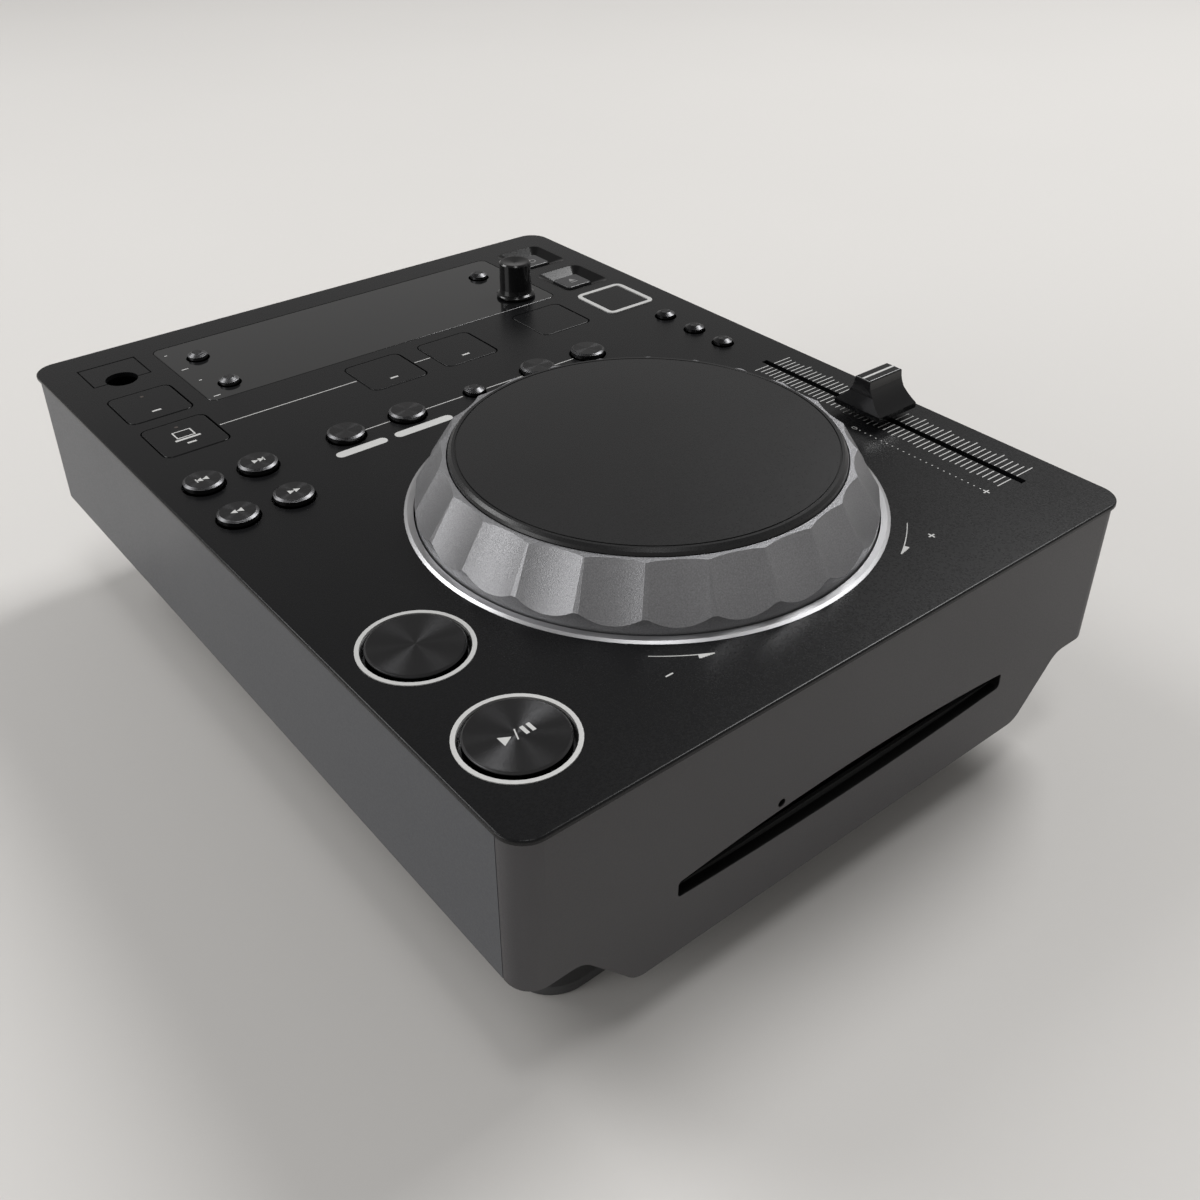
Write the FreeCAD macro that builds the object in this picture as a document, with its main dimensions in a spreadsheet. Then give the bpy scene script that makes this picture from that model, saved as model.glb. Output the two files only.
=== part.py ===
# Tabletop disc player for mixing music, as an assembly of separate pieces.
# Millimetres. +X is the player's right, +Y its back and +Z up. The origin is on the
# table under the middle of the player. Pieces are drawn from the middle of the deck's
# top face and then lifted to where the deck sits above the table.
import FreeCAD, Part
import math
import os
import Sketcher

Vector = FreeCAD.Vector

# Driving dimensions
DRIVING = {
    # Whole player
    "body_width": 218.5, "body_depth": 287.5, "deck_height": 87.1, "deck_shift": -4.5,
    "corner_round": 7.8, "lip_height": 1.3, "panel_height": 3.0, "lip_round": 0.6,
    "overhang": 0.9, "wall": 2.5, "fascia_wall": 3.0, "fascia_return": 7.9,
    "ear_level": -48.3, "skirt_level": -67.0, "ear_half": 91.4, "skirt_half": 75.45,
    "sweep_round": 7.0, "gap": 0.3, "tub_wall": 2.0,
    # Disc slot in the fascia
    "slot_half": 62.6, "slot_top": -42.05, "slot_bottom": -47.2, "slot_bow_top": 568.0,
    "slot_bow_bottom": 1088.0,
    "eject_hole_x": -28.2, "eject_hole_z": -37.1, "eject_hole_radius": 1.25,
    # Jog wheel
    "jog_x": 1.04, "jog_y": -55.76, "jog_ring_outer": 69.7, "jog_ring_inner": 67.0,
    "jog_flange": 66.5, "jog_ledge": 5.0, "jog_rim_level": 17.0, "jog_rim": 59.1,
    "jog_disc": 56.4, "jog_disc_top": 18.7, "jog_recess": 12.4, "jog_scallops": 24,
    "scallop_radius": 36.0, "scallop_middle": 57.7, "scallop_slope": 0.608,
    "jog_post": 8.0, "running_gap": 0.05, "jog_plate": 76.0, "jog_plate_level": -16.0,
    # Round buttons and the stems that reach the switches
    "stem_radius": 1.6, "stem_end": -8.4, "button_flange": 0.9, "button_flange_thick": 1.2,
    "button_under": 0.1,
    "main_button_x": -88.75, "cue_y": -73.94, "play_y": -116.04, "main_ring": 14.97,
    "main_bore": 13.5, "main_cap": 12.6, "main_rise": 1.1,
    "large_bore": 6.6, "large_cap": 5.95, "large_rise": 2.2,
    "small_bore": 4.1, "small_cap": 3.4, "small_rise": 2.2,
    "search_left": -95.8, "search_right": -78.3, "track_y": 31.4, "search_y": 8.5,
    "loop_y": 31.7, "loop_in_x": -47.9, "loop_out_x": -25.4, "reloop_x": 0.8,
    "loop_half_x": 27.2, "loop_double_x": 49.2,
    "window_left_x": -59.6, "time_y": 115.9, "display_y": 90.6,
    "menu_x": 60.1, "menu_y": 115.6,
    "column_x": 92.6, "vinyl_y": 39.1, "range_y": 23.1, "master_y": 8.1,
    # Flush pads
    "pad_size": 22.4, "pad_round": 3.0, "pad_gap": 0.5, "pad_thick": 2.6,
    "pad_back_gap": 0.12, "pad_pin_y": 10.2, "pad_pin_z": -1.6, "pad_pin": 0.65,
    "pad_left_x": -87.25, "pad_usb_x": -14.0, "pad_disc_x": 15.5, "pad_list_x": 57.5,
    "pad_upper_y": 91.9, "pad_lower_y": 64.1,
    "lock_x": 88.8, "lock_y": 64.35, "lock_frame_width": 21.85, "lock_frame_depth": 22.5,
    "lock_frame_band": 1.7,
    # Two keys in wells
    "well_x": 89.25, "standby_y": 119.8, "eject_y": 91.8, "well_width": 22.2,
    "well_depth": 23.2, "well_floor": -2.2, "well_round": 4.0, "well_key_top": -1.2,
    "well_key_width": 11.4, "well_key_depth": 10.6,
    # Display window
    "window_x": 0.9, "window_y": 105.8, "window_width": 143.4, "window_depth": 50.0,
    "window_thick": 1.4, "screen_half": 51.5, "screen_depth": 42.5,
    # Selector knob
    "selector_x": 60.9, "selector_y": 91.1, "selector_skirt": 7.45, "selector_grip": 6.0,
    "selector_top": 14.0, "selector_bore": 3.8, "selector_shaft": 3.0,
    # Tempo slider
    "tempo_x": 93.4, "tempo_mid_y": -65.8, "tempo_rest_y": -61.8, "tempo_slot_width": 2.5,
    "tempo_slot_length": 107.5, "tempo_base_half": 8.8, "tempo_base_length": 18.9,
    "tempo_crown_half": 7.55, "tempo_crown_length": 6.2, "tempo_low": 2.6,
    "tempo_rim": 4.3, "tempo_crown": 14.3,
    # USB hatch
    "hatch_x": -87.2, "hatch_front": 115.0, "hatch_back": 131.2, "hatch_width": 20.4,
    "hatch_thick": 1.6, "notch_radius": 5.4, "hatch_axis_y": 129.3, "hatch_axis_z": -1.2,
    # Feet
    "foot_size": 34.0, "foot_round": 12.9, "foot_inset_x": 90.5, "foot_front": -124.0,
    "foot_rear": 124.0, "foot_pad": 3.6,
    # Posts and screws
    "bite": 0.1, "seam": 0.02, "panel_post": 2.5, "tub_post": 3.0,
    "drive_screw_x": 50.0, "drive_screw_front": -118.0, "drive_screw_rear": 4.0,
    "screw_head": 3.0, "screw_head_height": 2.0, "screw_shank": 1.5, "screw_shank_length": 6.5,
    "screw_socket": 1.2, "screw_hole": 1.65,
    # Disc drive
    "path_half": 66.0, "felt_half": 64.0, "felt_thick": 1.0, "felt_height": 6.0,
    "chassis_post": 4.0, "bearing_width": 8.0, "bearing_thick": 3.0, "bearing_height": 11.0,
    "bearing_front": -60.0, "bearing_rear": 6.0,
    "ledge_x": 18.0, "ledge_width": 6.0, "ledge_length": 68.0, "ledge_height": 6.0,
    "guide_width": 4.0, "guide_length": 110.0, "cover_window": 16.0,
    "spindle_motor": 13.0, "spindle_height": 10.8, "spindle_shaft": 1.0, "spindle_rise": 3.2,
    "sled_motor": 6.0, "sled_motor_length": 24.0, "sled_motor_x": -45.0, "sled_motor_y": -58.0,
    "load_motor": 7.0, "load_motor_length": 26.0, "load_motor_x": 30.0, "load_motor_y": -112.0,
    "table_level": -50.6, "table_thick": 3.0, "table_radius": 14.0, "spigot_radius": 7.4,
    "spigot_rise": 0.7, "clamp_level": -42.0, "clamp_thick": 2.0, "clamp_rim_level": -40.2,
    "clamp_rim_thick": 3.4, "clamp_rim_radius": 15.0,
    "roller_half": 60.0, "roller_shaft": 1.2, "roller_shaft_half": 74.0, "roller_gear": 4.6,
    "roller_gear_width": 4.0, "screw_start": -62.0, "screw_length": 74.0, "screw_gear": 3.0,
    "sled_half": 16.0, "sled_depth": 24.0, "sled_level": -59.5, "sled_height": 8.0,
    "nut_width": 16.0, "nut_depth": 12.0, "nut_height": 6.5, "nut_overlap": 0.5,
    "shoe_width": 8.0, "shoe_height": 3.0, "lens_radius": 4.0, "lens_height": 3.2,
    "disc_y": -66.0, "drive_half": 72.0, "drive_front": -136.0, "drive_rear": 12.0,
    "drive_floor": -63.5, "drive_sheet": 1.5, "drive_cover_level": -38.0,
    "path_top": -42.2, "path_bottom": -46.8, "roller_radius": 4.0, "roller_y": -129.5,
    "screw_x": -28.0, "screw_z": -56.0, "screw_radius": 1.5, "sled_y": -37.5,
    # Boards and rear sockets
    "board_thick": 1.6, "control_level": -11.6, "main_level": -40.0,
    "control_half": 104.0, "control_front": 22.0, "control_depth": 113.0,
    "control_arm": 26.0, "control_arm_front": -131.0, "control_tab_x": 84.0,
    "control_tab_width": 19.0, "control_tab_front": 1.0,
    "board_front": 24.0, "board_depth": 110.0, "main_board_x": -6.0, "main_board_width": 104.0,
    "power_board_x": -98.0, "power_board_width": 84.0,
    "usb_y": 123.0, "usb_shell_width": 14.5, "usb_shell_depth": 7.2, "usb_shell_floor": -25.0,
    "usb_shell_height": 15.5, "usb_skin": 1.0,
    "rear_face": 142.9, "jack_tip": 152.75, "socket_z": -27.0, "socket_reach": 12.9,
    "phono_right_x": 88.0, "phono_left_x": 72.0, "phono_shell": 4.15, "phono_mouth": 3.3,
    "phono_pin": 2.3, "phono_pin_bore": 1.6, "phono_block_width": 30.0, "phono_block_height": 18.0,
    "control_jack_x": 48.0, "control_jack_width": 9.0, "control_jack_height": 16.0,
    "control_jack_bush": 3.6, "control_jack_bore": 1.8,
    "usb_b_x": 22.0, "usb_b_width": 12.0, "usb_b_height": 11.0, "usb_b_reach": 15.0,
    "usb_b_mouth_width": 8.5, "usb_b_mouth_height": 7.8,
    "inlet_x": -66.0, "inlet_width": 22.0, "inlet_height": 14.0, "inlet_reach": 16.0,
    "inlet_lobe": 4.1, "inlet_lobe_gap": 8.4, "inlet_pin": 1.15, "inlet_pin_gap": 8.6,
    "security_slot_x": -22.0, "security_slot_width": 7.0, "security_slot_height": 3.0,
    "socket_gap": 0.6,
}


class Size:
    """A length that knows its value and the sheet expression that gives it."""

    def __init__(self, value, text):
        self.value = value
        self.text = text

    def _join(self, other, sign, value):
        return Size(value, "(%s %s %s)" % (self.text, sign, text_of(other)))

    def __add__(self, other):
        return self._join(other, "+", self.value + value_of(other))

    def __sub__(self, other):
        return self._join(other, "-", self.value - value_of(other))

    def __mul__(self, other):
        return self._join(other, "*", self.value * value_of(other))

    def __truediv__(self, other):
        return self._join(other, "/", self.value / value_of(other))

    def __neg__(self):
        return Size(-self.value, "(0 - %s)" % self.text)

    def __radd__(self, other):
        return Size(other, str(other)) + self

    def __rsub__(self, other):
        return Size(other, str(other)) - self


def value_of(length):
    return length.value if isinstance(length, Size) else float(length)


def text_of(length):
    return length.text if isinstance(length, Size) else repr(float(length))


class Named:
    """The driving dimensions by name."""


doc = FreeCAD.newDocument("disc_player")
sheet = doc.addObject("Spreadsheet::Sheet", "dims")
d = Named()
for line, (alias, amount) in enumerate(DRIVING.items(), start=1):
    sheet.set("A%d" % line, alias)
    sheet.set("B%d" % line, str(amount))
    sheet.setAlias("B%d" % line, alias)
    setattr(d, alias, Size(amount, "dims." + alias))
doc.recompute()

pieces = []


def lift(piece, x=0, y=0, z=0):
    """Place a piece that was drawn from the deck's middle, moved by x, y and z."""
    piece.setExpression("Placement.Base.x", text_of(x))
    piece.setExpression("Placement.Base.y", text_of(d.deck_shift + y))
    piece.setExpression("Placement.Base.z", text_of(d.deck_height + z))
    pieces.append(piece)
    return piece


# Drawing a piece as a body of sketched features
def new_body(label, x=0, y=0, z=0):
    body = doc.addObject("PartDesign::Body", label)
    body.Label = label
    return lift(body, x, y, z)


def new_sketch(body, role, level=0):
    """A sketch on the body's own plane, moved along the plane's normal to level."""
    sketch = body.newObject("Sketcher::SketchObject", body.Name + "_sketch")
    support = [plane for plane in body.Origin.OriginFeatures if plane.Role == role][0]
    sketch.AttachmentSupport = [(support, "")]
    sketch.MapMode = "FlatFace"
    sketch.setExpression("AttachmentOffset.Base.z", text_of(level))
    return sketch


def fix_point(sketch, geometry, end, x, y):
    for kind, length in (("DistanceX", x), ("DistanceY", y)):
        rule = Sketcher.Constraint(kind, -1, 1, geometry, end, value_of(length))
        number = sketch.addConstraint(rule)
        sketch.setExpression("Constraints[%d]" % number, text_of(length))


def draw_loop(sketch, points):
    """A closed outline of straight lines through points of (x, y)."""
    first = sketch.GeometryCount
    places = [Vector(value_of(x), value_of(y), 0) for x, y in points]
    for start, end in zip(places, places[1:] + places[:1]):
        sketch.addGeometry(Part.LineSegment(start, end), False)
    for number in range(len(points)):
        after = (number + 1) % len(points)
        rule = Sketcher.Constraint("Coincident", first + number, 2, first + after, 1)
        sketch.addConstraint(rule)
    for number, (x, y) in enumerate(points):
        fix_point(sketch, first + number, 1, x, y)


def draw_box(sketch, x, y, width, depth):
    left = x - width / 2
    front = y - depth / 2
    draw_loop(sketch, [(left, front), (left + width, front),
                       (left + width, front + depth), (left, front + depth)])


def draw_round_box(sketch, x, y, width, depth, radius):
    """A box outline with rounded corners, drawn anticlockwise from the front edge."""
    first = sketch.GeometryCount
    half, reach = width / 2, depth / 2
    ends = [(x - half + radius, y - reach), (x + half - radius, y - reach),
            (x + half, y - reach + radius), (x + half, y + reach - radius),
            (x + half - radius, y + reach), (x - half + radius, y + reach),
            (x - half, y + reach - radius), (x - half, y - reach + radius)]
    places = [Vector(value_of(across), value_of(along), 0) for across, along in ends]
    bend = value_of(radius)
    hubs = [Vector(value_of(x + (half - radius) * side), value_of(y + (reach - radius) * end), 0)
            for side, end in ((1, -1), (1, 1), (-1, 1), (-1, -1))]
    for corner, hub in enumerate(hubs):
        start, end = places[corner * 2], places[corner * 2 + 1]
        after = places[(corner * 2 + 2) % len(places)]
        diagonal = (end + after) / 2 - hub
        middle = hub + diagonal * (bend / diagonal.Length)
        sketch.addGeometry(Part.LineSegment(start, end), False)
        sketch.addGeometry(Part.Arc(end, middle, after), False)
    for corner in range(len(hubs)):
        edge = first + corner * 2
        arc = edge + 1
        following = first + (corner * 2 + 2) % len(places)
        fix_point(sketch, edge, 1, *ends[corner * 2])
        fix_point(sketch, edge, 2, *ends[corner * 2 + 1])
        sketch.addConstraint(Sketcher.Constraint("Coincident", edge, 2, arc, 1))
        sketch.addConstraint(Sketcher.Constraint("Coincident", arc, 2, following, 1))
        rule = sketch.addConstraint(Sketcher.Constraint("Radius", arc, bend))
        sketch.setExpression("Constraints[%d]" % rule, text_of(radius))


def draw_circle(sketch, x, y, radius):
    centre = Vector(value_of(x), value_of(y), 0)
    circle = Part.Circle(centre, Vector(0, 0, 1), value_of(radius))
    number = sketch.addGeometry(circle, False)
    fix_point(sketch, number, 3, x, y)
    rule = sketch.addConstraint(Sketcher.Constraint("Radius", number, value_of(radius)))
    sketch.setExpression("Constraints[%d]" % rule, text_of(radius))


def pad(body, sketch, length, backwards=False):
    feature = body.newObject("PartDesign::Pad", body.Name + "_pad")
    feature.Profile = sketch
    feature.setExpression("Length", text_of(length))
    feature.Reversed = backwards
    doc.recompute()
    return feature


def pocket(body, sketch, length=None, backwards=False):
    """Cut along the sketch's normal reversed, or right through both ways."""
    before = body.Shape.Volume
    feature = body.newObject("PartDesign::Pocket", body.Name + "_pocket")
    feature.Profile = sketch
    if length is None:
        feature.Type = "ThroughAll"
        feature.Midplane = True
    else:
        feature.setExpression("Length", text_of(length))
    feature.Reversed = backwards
    doc.recompute()
    if not body.Shape.Volume < before:
        raise RuntimeError(body.Label + ": a pocket cuts nothing")
    return feature


def turn(body, points):
    """A turned solid from an outline of (radius, height) points."""
    sketch = new_sketch(body, "XZ_Plane")
    draw_loop(sketch, points)
    feature = body.newObject("PartDesign::Revolution", body.Name + "_turned")
    feature.Profile = sketch
    feature.ReferenceAxis = (sketch, ["V_Axis"])
    feature.Angle = 360
    doc.recompute()
    return feature


def round_edges(body, radius, wanted):
    """Fillet the edges of the body's present shape for which wanted(edge) is true."""
    tip = body.Tip
    names = ["Edge%d" % number for number, edge in enumerate(tip.Shape.Edges, start=1)
             if wanted(edge)]
    feature = body.newObject("PartDesign::Fillet", body.Name + "_round")
    feature.Base = (tip, names)
    feature.setExpression("Radius", text_of(radius))
    doc.recompute()
    return feature


def upright(edge):
    box = edge.BoundBox
    return box.XLength < 0.01 and box.YLength < 0.01 and box.ZLength > 0.2


def upright_at(places):
    """A test for upright edges over any of the (x, y) places."""
    spots = [(value_of(x), value_of(y)) for x, y in places]

    def wanted(edge):
        box = edge.BoundBox
        return upright(edge) and any(
            math.hypot(box.XMin - x, box.YMin - y) < 0.05 for x, y in spots)
    return wanted


def corners(x, y, width, depth):
    return [(x + width / 2 * side, y + depth / 2 * end)
            for side in (-1, 1) for end in (-1, 1)]


def rim_at(level, radius=None):
    """A test for edges lying flat at a level, and of one radius if it is given."""
    def wanted(edge):
        box = edge.BoundBox
        if box.ZLength > 0.01 or abs(box.ZMin - value_of(level)) > 0.01:
            return False
        if radius is None:
            return True
        return hasattr(edge.Curve, "Radius") and abs(edge.Curve.Radius - value_of(radius)) < 0.02
    return wanted


# Drawing a piece from plain solids
def block(low, lengths):
    """A box from its low corner (x, y, z) and its three lengths."""
    solid = doc.addObject("Part::Box", "block")
    for side, length in zip(("Length", "Width", "Height"), lengths):
        solid.setExpression(side, text_of(length))
    for axis, place in zip("xyz", low):
        solid.setExpression("Placement.Base." + axis, text_of(place))
    return solid


def rod(start, length, radius, along="z"):
    """A round bar from its start point, along x, y or z."""
    solid = doc.addObject("Part::Cylinder", "rod")
    solid.setExpression("Radius", text_of(radius))
    solid.setExpression("Height", text_of(length))
    turns = {"x": FreeCAD.Rotation(Vector(0, 1, 0), 90), "y": FreeCAD.Rotation(Vector(1, 0, 0), -90),
             "z": FreeCAD.Rotation()}
    solid.Placement = FreeCAD.Placement(Vector(), turns[along])
    for axis, place in zip("xyz", start):
        solid.setExpression("Placement.Base." + axis, text_of(place))
    return solid


def fuse(solids):
    joined = doc.addObject("Part::MultiFuse", "joined")
    joined.Shapes = solids
    return joined


def cut(base, tools):
    result = doc.addObject("Part::Cut", "cut")
    result.Base = base
    result.Tool = tools[0] if len(tools) == 1 else fuse(tools)
    return result


def group(solids):
    """Separate solids kept together as one piece, such as four like feet."""
    together = doc.addObject("Part::Compound", "together")
    together.Links = solids
    return together


def finish(label, solid, x=0, y=0, z=0):
    solid.Label = label
    return lift(solid, x, y, z)


# Outline shared by the fascia and the bottom tub, seen from the front
def sweep_outline(grow, top):
    """The lower outline: ears at the sides, a slope each side and the middle skirt."""
    wide = d.body_width / 2 - d.overhang - grow
    half = grow * 0.45
    right = [(wide, top), (wide, d.ear_level), (d.ear_half - half, d.ear_level),
             (d.skirt_half - half, d.skirt_level)]
    left = [(-x, z) for x, z in reversed(right)]
    return right + left


def sweep_edges(y_length):
    """A test for the edges along Y where the slope meets the ears and the skirt."""
    def wanted(edge):
        box = edge.BoundBox
        on_slope = 70 < abs(box.XMin) < 95 and box.XLength < 0.01 and box.ZLength < 0.01
        return on_slope and box.YLength > y_length
    return wanted


# Top panel: the moulded deck plate that every control comes up through
large_buttons = {
    "track_back_button": (d.search_left, d.track_y),
    "track_next_button": (d.search_right, d.track_y),
    "search_back_button": (d.search_left, d.search_y),
    "search_next_button": (d.search_right, d.search_y),
    "loop_in_button": (d.loop_in_x, d.loop_y),
    "loop_out_button": (d.loop_out_x, d.loop_y),
    "loop_half_button": (d.loop_half_x, d.loop_y),
    "loop_double_button": (d.loop_double_x, d.loop_y),
}
small_buttons = {
    "reloop_button": (d.reloop_x, d.loop_y),
    "time_button": (d.window_left_x, d.time_y),
    "display_button": (d.window_left_x, d.display_y),
    "menu_back_button": (d.menu_x, d.menu_y),
    "vinyl_button": (d.column_x, d.vinyl_y),
    "range_button": (d.column_x, d.range_y),
    "master_tempo_button": (d.column_x, d.master_y),
}
main_buttons = {
    "cue_button": (d.main_button_x, d.cue_y),
    "play_button": (d.main_button_x, d.play_y),
}
pads = {
    "usb_stop_pad": (d.pad_left_x, d.pad_upper_y),
    "link_pad": (d.pad_left_x, d.pad_lower_y),
    "usb_pad": (d.pad_usb_x, d.pad_lower_y),
    "disc_pad": (d.pad_disc_x, d.pad_lower_y),
    "playlist_pad": (d.pad_list_x, d.pad_lower_y),
}
well_keys = {
    "standby_key": (d.well_x, d.standby_y),
    "eject_key": (d.well_x, d.eject_y),
}
window_size = (d.window_width, d.window_depth)
lock_size = (d.lock_frame_width, d.lock_frame_depth)
well_size = (d.well_width, d.well_depth)
lock_bore = (d.lock_frame_width - d.lock_frame_band * 2, d.lock_frame_depth - d.lock_frame_band * 2)


def make_top_panel():
    panel = new_body("top_panel")
    plate = new_sketch(panel, "XY_Plane", -d.lip_height)
    draw_box(plate, 0, 0, d.body_width, d.body_depth)
    pad(panel, plate, d.lip_height)
    round_edges(panel, d.corner_round, upright)
    inset = d.overhang + d.wall + d.gap
    rib = new_sketch(panel, "XY_Plane", -d.panel_height)
    draw_box(rib, 0, 0, d.body_width - inset * 2, d.body_depth - inset * 2 - 1)
    pad(panel, rib, d.panel_height - d.lip_height)
    posts = new_sketch(panel, "XY_Plane", d.control_level + d.board_thick)
    for x, y in ((-81, -30), (-81, -95), (-65, 40), (72, 40), (66, 129), (-66, 129)):
        draw_circle(posts, x, y, d.panel_post)
    pad(panel, posts, -d.control_level - d.board_thick - d.panel_height + d.bite)
    holder = new_sketch(panel, "XY_Plane", -d.panel_height * 3)
    hatch_mid = (d.hatch_front + d.hatch_back) / 2
    hatch_depth = d.hatch_back - d.hatch_front
    draw_box(holder, d.hatch_x, hatch_mid + 0.8, d.hatch_width + 3.2, hatch_depth + 1.6)
    pad(panel, holder, d.panel_height * 2)
    round_edges(panel, d.lip_round, lambda edge: rim_at(0)(edge)
                and edge.Length > 0 and max(abs(edge.BoundBox.XMax), abs(edge.BoundBox.XMin)) > 100)

    rebates = ((0.6, [(main_buttons[name], d.main_ring + 0.05) for name in main_buttons]),
               (1.0, [((d.jog_x, d.jog_y), d.jog_ring_outer + 0.05)]))
    for depth, circles in rebates:
        seat = new_sketch(panel, "XY_Plane")
        for (x, y), radius in circles:
            draw_circle(seat, x, y, radius)
        pocket(panel, seat, depth)

    seats = ((d.window_thick, (d.window_x, d.window_y), window_size),
             (0.8, (d.lock_x, d.lock_y), lock_size))
    for depth, (x, y), (width, length) in seats:
        seat = new_sketch(panel, "XY_Plane")
        draw_round_box(seat, x, y, width + 0.4, length + 0.4, d.pad_round + 0.2)
        pocket(panel, seat, depth)

    holes = new_sketch(panel, "XY_Plane")
    draw_circle(holes, d.jog_x, d.jog_y, d.jog_ring_inner + 0.5)
    for x, y in main_buttons.values():
        draw_circle(holes, x, y, d.main_bore)
    for x, y in large_buttons.values():
        draw_circle(holes, x, y, d.large_bore)
    for x, y in small_buttons.values():
        draw_circle(holes, x, y, d.small_bore)
    draw_circle(holes, d.selector_x, d.selector_y, d.selector_bore)
    for x, y in pads.values():
        draw_box(holes, x, y, d.pad_size, d.pad_size)
    for x, y in well_keys.values():
        draw_box(holes, x, y, *well_size)
    draw_box(holes, d.lock_x, d.lock_y, *lock_bore)
    draw_box(holes, 0, d.window_y, d.screen_half * 2 + 0.6, d.screen_depth + 0.6)
    draw_box(holes, d.tempo_x, d.tempo_mid_y, d.tempo_slot_width, d.tempo_slot_length)
    draw_box(holes, d.hatch_x, hatch_mid, d.hatch_width, hatch_depth)
    pocket(panel, holes)

    notch = new_sketch(panel, "XY_Plane")
    draw_circle(notch, d.hatch_x, d.hatch_front + 1.3, d.notch_radius)
    pocket(panel, notch, d.panel_height)
    pivot = new_sketch(panel, "YZ_Plane", d.hatch_x - d.hatch_width)
    draw_circle(pivot, d.hatch_axis_y, d.hatch_axis_z, 0.75)
    pocket(panel, pivot, d.hatch_width * 2, True)

    pad_corners = []
    for x, y in pads.values():
        pad_corners += corners(x, y, d.pad_size, d.pad_size)
    well_corners = []
    for x, y in well_keys.values():
        well_corners += corners(x, y, *well_size)
    lock_bore_corners = corners(d.lock_x, d.lock_y, *lock_bore)
    round_edges(panel, d.pad_round, upright_at(pad_corners))
    round_edges(panel, d.well_round, upright_at(well_corners))
    round_edges(panel, 1.3, upright_at(lock_bore_corners))

    for x, y in pads.values():
        seat = new_sketch(panel, "YZ_Plane", x - d.pad_size / 2 - 0.9)
        draw_circle(seat, y + d.pad_pin_y, d.pad_pin_z, d.pad_pin + d.running_gap)
        pocket(panel, seat, d.pad_size + 1.8, True)


make_top_panel()


# Front panel: the fascia with the disc slot, wrapped round both front corners
def make_front_panel():
    panel = new_body("front_panel")
    face = d.body_depth / 2 - d.overhang
    outline = sweep_outline(0, -d.lip_height - 0.05)
    front = new_sketch(panel, "XZ_Plane", face - d.fascia_return)
    draw_loop(front, outline)
    pad(panel, front, d.fascia_return)
    round_edges(panel, d.corner_round - d.overhang, lambda edge: upright(edge)
                and abs(edge.BoundBox.YMin + value_of(face)) < 0.05)
    round_edges(panel, d.sweep_round, sweep_edges(2))
    hollow = new_sketch(panel, "XZ_Plane", face - d.fascia_return)
    wide = d.body_width / 2 - d.overhang - d.wall
    draw_loop(hollow, [(-wide, 1), (wide, 1), (wide, d.skirt_level - 1), (-wide, d.skirt_level - 1)])
    pocket(panel, hollow, d.fascia_return - d.fascia_wall, True)

    slot = new_sketch(panel, "XZ_Plane", face)
    ends = [(-d.slot_half, d.slot_bottom), (d.slot_half, d.slot_bottom),
            (d.slot_half, d.slot_top), (-d.slot_half, d.slot_top)]
    places = [Vector(value_of(x), value_of(z), 0) for x, z in ends]
    sags = [value_of(bow) - math.sqrt(value_of(bow) ** 2 - value_of(d.slot_half) ** 2)
            for bow in (d.slot_bow_bottom, d.slot_bow_top)]
    low = Part.Arc(places[0], Vector(0, places[0].y - sags[0], 0), places[1])
    high = Part.Arc(places[2], Vector(0, places[2].y + sags[1], 0), places[3])
    slot.addGeometry(low, False)
    slot.addGeometry(Part.LineSegment(places[1], places[2]), False)
    slot.addGeometry(high, False)
    slot.addGeometry(Part.LineSegment(places[3], places[0]), False)
    for number, bow in ((0, d.slot_bow_bottom), (2, d.slot_bow_top)):
        rule = slot.addConstraint(Sketcher.Constraint("Radius", number, value_of(bow)))
        slot.setExpression("Constraints[%d]" % rule, text_of(bow))
    for number, (x, z) in ((1, ends[1]), (3, ends[3])):
        fix_point(slot, number, 1, x, z)
        other = ends[(number + 1) % 4]
        fix_point(slot, number, 2, *other)
    for arc, end, line_number, line_end in ((0, 2, 1, 1), (0, 1, 3, 2), (2, 1, 1, 2), (2, 2, 3, 1)):
        rule = Sketcher.Constraint("Coincident", arc, end, line_number, line_end)
        slot.addConstraint(rule)
    pocket(panel, slot)
    hole = new_sketch(panel, "XZ_Plane", face)
    draw_circle(hole, d.eject_hole_x, d.eject_hole_z, d.eject_hole_radius)
    pocket(panel, hole)
    round_edges(panel, 1.2, lambda edge: edge.BoundBox.XLength < 0.01 and edge.BoundBox.ZLength < 0.01
                and abs(abs(edge.BoundBox.XMin) - value_of(d.slot_half)) < 0.05)


make_front_panel()


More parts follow.
